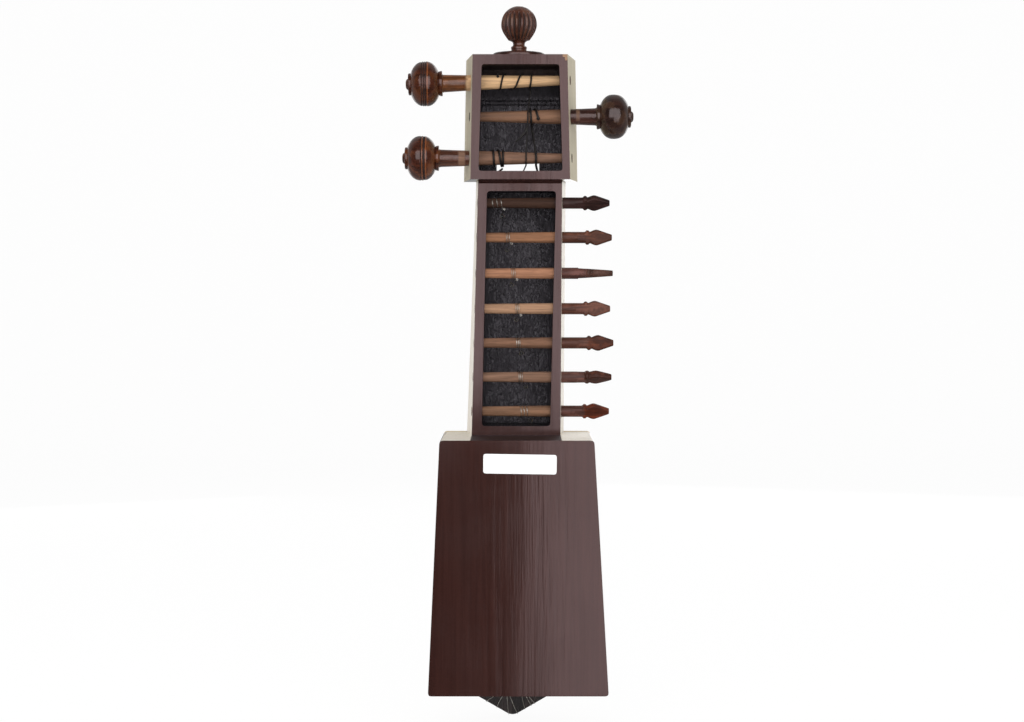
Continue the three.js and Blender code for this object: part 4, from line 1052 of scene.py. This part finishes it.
def wire_path(number):
    """The wire's way through its marks, with its last half turn and more round the pin."""
    peg = spear_pegs[number]
    step = 0.55
    x, z = eyelet_places[number]
    edge_x = tail_shift + plate_half * edge_shares[number]
    edge_z = plate_tip + max(plate_slope * abs(edge_shares[number]), 1.5) - 1.4 * step
    pin, order = divmod(number, 4)
    pin_x, pin_z = pins[pin]
    level = 60 - step - 0.95 * order
    away = math.atan2(edge_z - pin_z, edge_x - pin_x) + math.pi * 0.55
    angle = away - 2 * math.pi * 0.6 * np.linspace(0, 1, 17)
    hook = np.stack([pin_x + 1.75 * np.cos(angle), level + 0 * angle, pin_z + 1.75 * np.sin(angle)], -1)
    lip = 60 + step
    marks = np.array([
        (peg.wind, spear_depth + 2 * step, peg.z - peg.radius(peg.wind) - 3 * step),
        (x, 51.7 - step, z + 0.8), (x, 52.5 + step, z), (x, lip - step, z),
        (x, lip + step / 3, z - step), (x, lip + 0.6 * step, z - 3 * step),
        (-1.5 + (number - 3) * 4.7, 74.8, 86),
        (edge_x, 65 + step, edge_z + 4 * step), (edge_x, 65 + step / 3, edge_z + step / 2),
        (edge_x, 62.5, edge_z - step / 4), (edge_x, 60 - step / 3, edge_z + step / 2),
        (edge_x + 0.15 * (pin_x - edge_x), level, edge_z + 0.15 * (pin_z - edge_z) + step),
    ])
    return eased(np.vstack([marks, hook]), 0.3)


for number in range(7):
    made = round_piece(f"wire_{number + 1}", tube(wire_path(number), wire_radius, 8), steel)
    as_piece(made, "steel_wire", f"sympathetic_wire_{number + 1}")


# Finial. A turned disc lies on the peg box, and a fluted ball on a collared neck stands in it.
finial_x, finial_y, seat = 0.6, 29, 556.3
flutes, flute_depth = 20, 2.1


def fluting(angle, rise):
    """How deep a flute is at an angle and a height over the disc: (1 - |sin(n a / 2)|)^0.9 between
    the ball's foot and its smooth cap, so that rounded ribs stand between sharp valleys."""
    covered = np.clip((rise - 10.4) / 0.8, 0, 1) * np.clip((35.5 - rise) / 3, 0, 1)
    return (1 - abs(np.sin(flutes / 2 * angle + 0.3 * np.sin(rise / 5.5)))) ** 0.9 * covered


def upright(profile, columns, swell=0.0):
    """A profile of [height over the disc, radius] turned about the finial's own line along Z."""
    return turned(profile, columns, swell)[..., [1, 2, 0]] + (finial_x, finial_y, seat)


def finial_points():
    """The profile is turned about Z, less the flutes."""
    ball = np.linspace(-0.84, 1, 90)
    height = 24.3 + np.where(ball > 0, 16.7, 16.2) * ball
    above = 15.95 * np.sqrt(np.maximum(1 - abs(ball) ** 2.1, 0))
    below = 9.3 + 6.65 * np.cos(abs(ball) / 0.84 * math.pi / 2)
    foot = rounded_line([
        (-10, 0, 0), (-10, 4, 0), (-0.1, 4, 0), (-0.1, 6.5, 0.3), (2.2, 7.0, 0.3), (2.5, 6.6, 0.1),
        (2.8, 7.1, 0.2), (5, 7.1, 0.4), (5.6, 5.6, 0.4), (7.2, 5.1, 1), (9.1, 5.7, 0.8),
        (9.8, 6.8, 0.4), (height[0], 9.1, 0.1),
    ])
    profile = evenly(np.vstack([foot, np.stack([height, np.where(ball > 0, above, below)], -1)]), 0.35)
    columns = flutes * 12
    return upright(profile, columns, -flute_depth * fluting(round_angles(columns), profile[:, :1]))


disc_section = evenly(rounded_line([
    (-4, 4.3, 0), (-4, 23.4, 0.4), (-1.7, 23.4, 0.9), (-0.4, 21.6, 1), (-0.3, 4.3, 0), (-4, 4.3, 0),
]), 0.4)
plain = (0.1, 0.04, 0.02)
finial_wood = material(
    "cedar_finial", turned_wood, plain, plain, (0.05, 0.017, 0.010), (0.085, 0.036, 0.02), (1, 1, 0.06))
disc_wood = material(
    "cedar_disc", turned_wood, plain, plain, (0.03, 0.011, 0.008), (0.02, 0.008, 0.006))
for name, points, node, wood in (
    ("fluted_finial", finial_points(), "finial", finial_wood),
    ("turned_disc", upright(disc_section, 96), "finial_disc", disc_wood),
):
    made = round_piece(name, points, wood)
    store_stain(made, [(-50, 1), (50, 1)])
    x, y, z = places_of(made)
    if node == "finial":
        # The flutes' valleys get painted shade
        store(made, "groove", fluting(np.arctan2(finial_y - y, finial_x - x), z - seat) ** 0.8)
    as_piece(made, "turned_wood", node)


# Label. A blank slip of glossy paper with rounded corners is stuck to the belly's back, a little
# out of level.
def label_points():
    """The slip's rounded outline drawn in towards its middle, with a rim one paper thickness deep."""
    wide, high, corner = 31.2, 8.35, 2.2
    outline = evenly(rounded_line([
        (0, -high, 0), (wide, -high, corner), (wide, high, corner), (-wide, high, corner),
        (-wide, -high, corner), (-0.01, -high, 0),
    ]), 0.8)
    share = np.array([0.0, 1.0, 1.0, 0.997, 0.9, 0.6, 0.3, 0.0])[:, None]
    depth = np.array([-58.5, -58.5, -58.56, *[-58.6] * 5])[:, None]
    x, z = outline[None, :, 0] * share, outline[None, :, 1] * share
    tilt = math.radians(-0.9)
    c, s = math.cos(tilt), math.sin(tilt)
    return np.stack([x * c - z * s + 1.4, depth + 0 * x, x * s + z * c + 198.4], -1)


slip = material("glossy_paper", lambda place: {
    "Base Color": blend(patches(place, 80.0, 0.5, 0.3), (0.80, 0.80, 0.80), (0.74, 0.74, 0.75)),
    "Roughness": 0.35,
})
as_piece(round_piece("blank_label", label_points(), slip), "parchment")
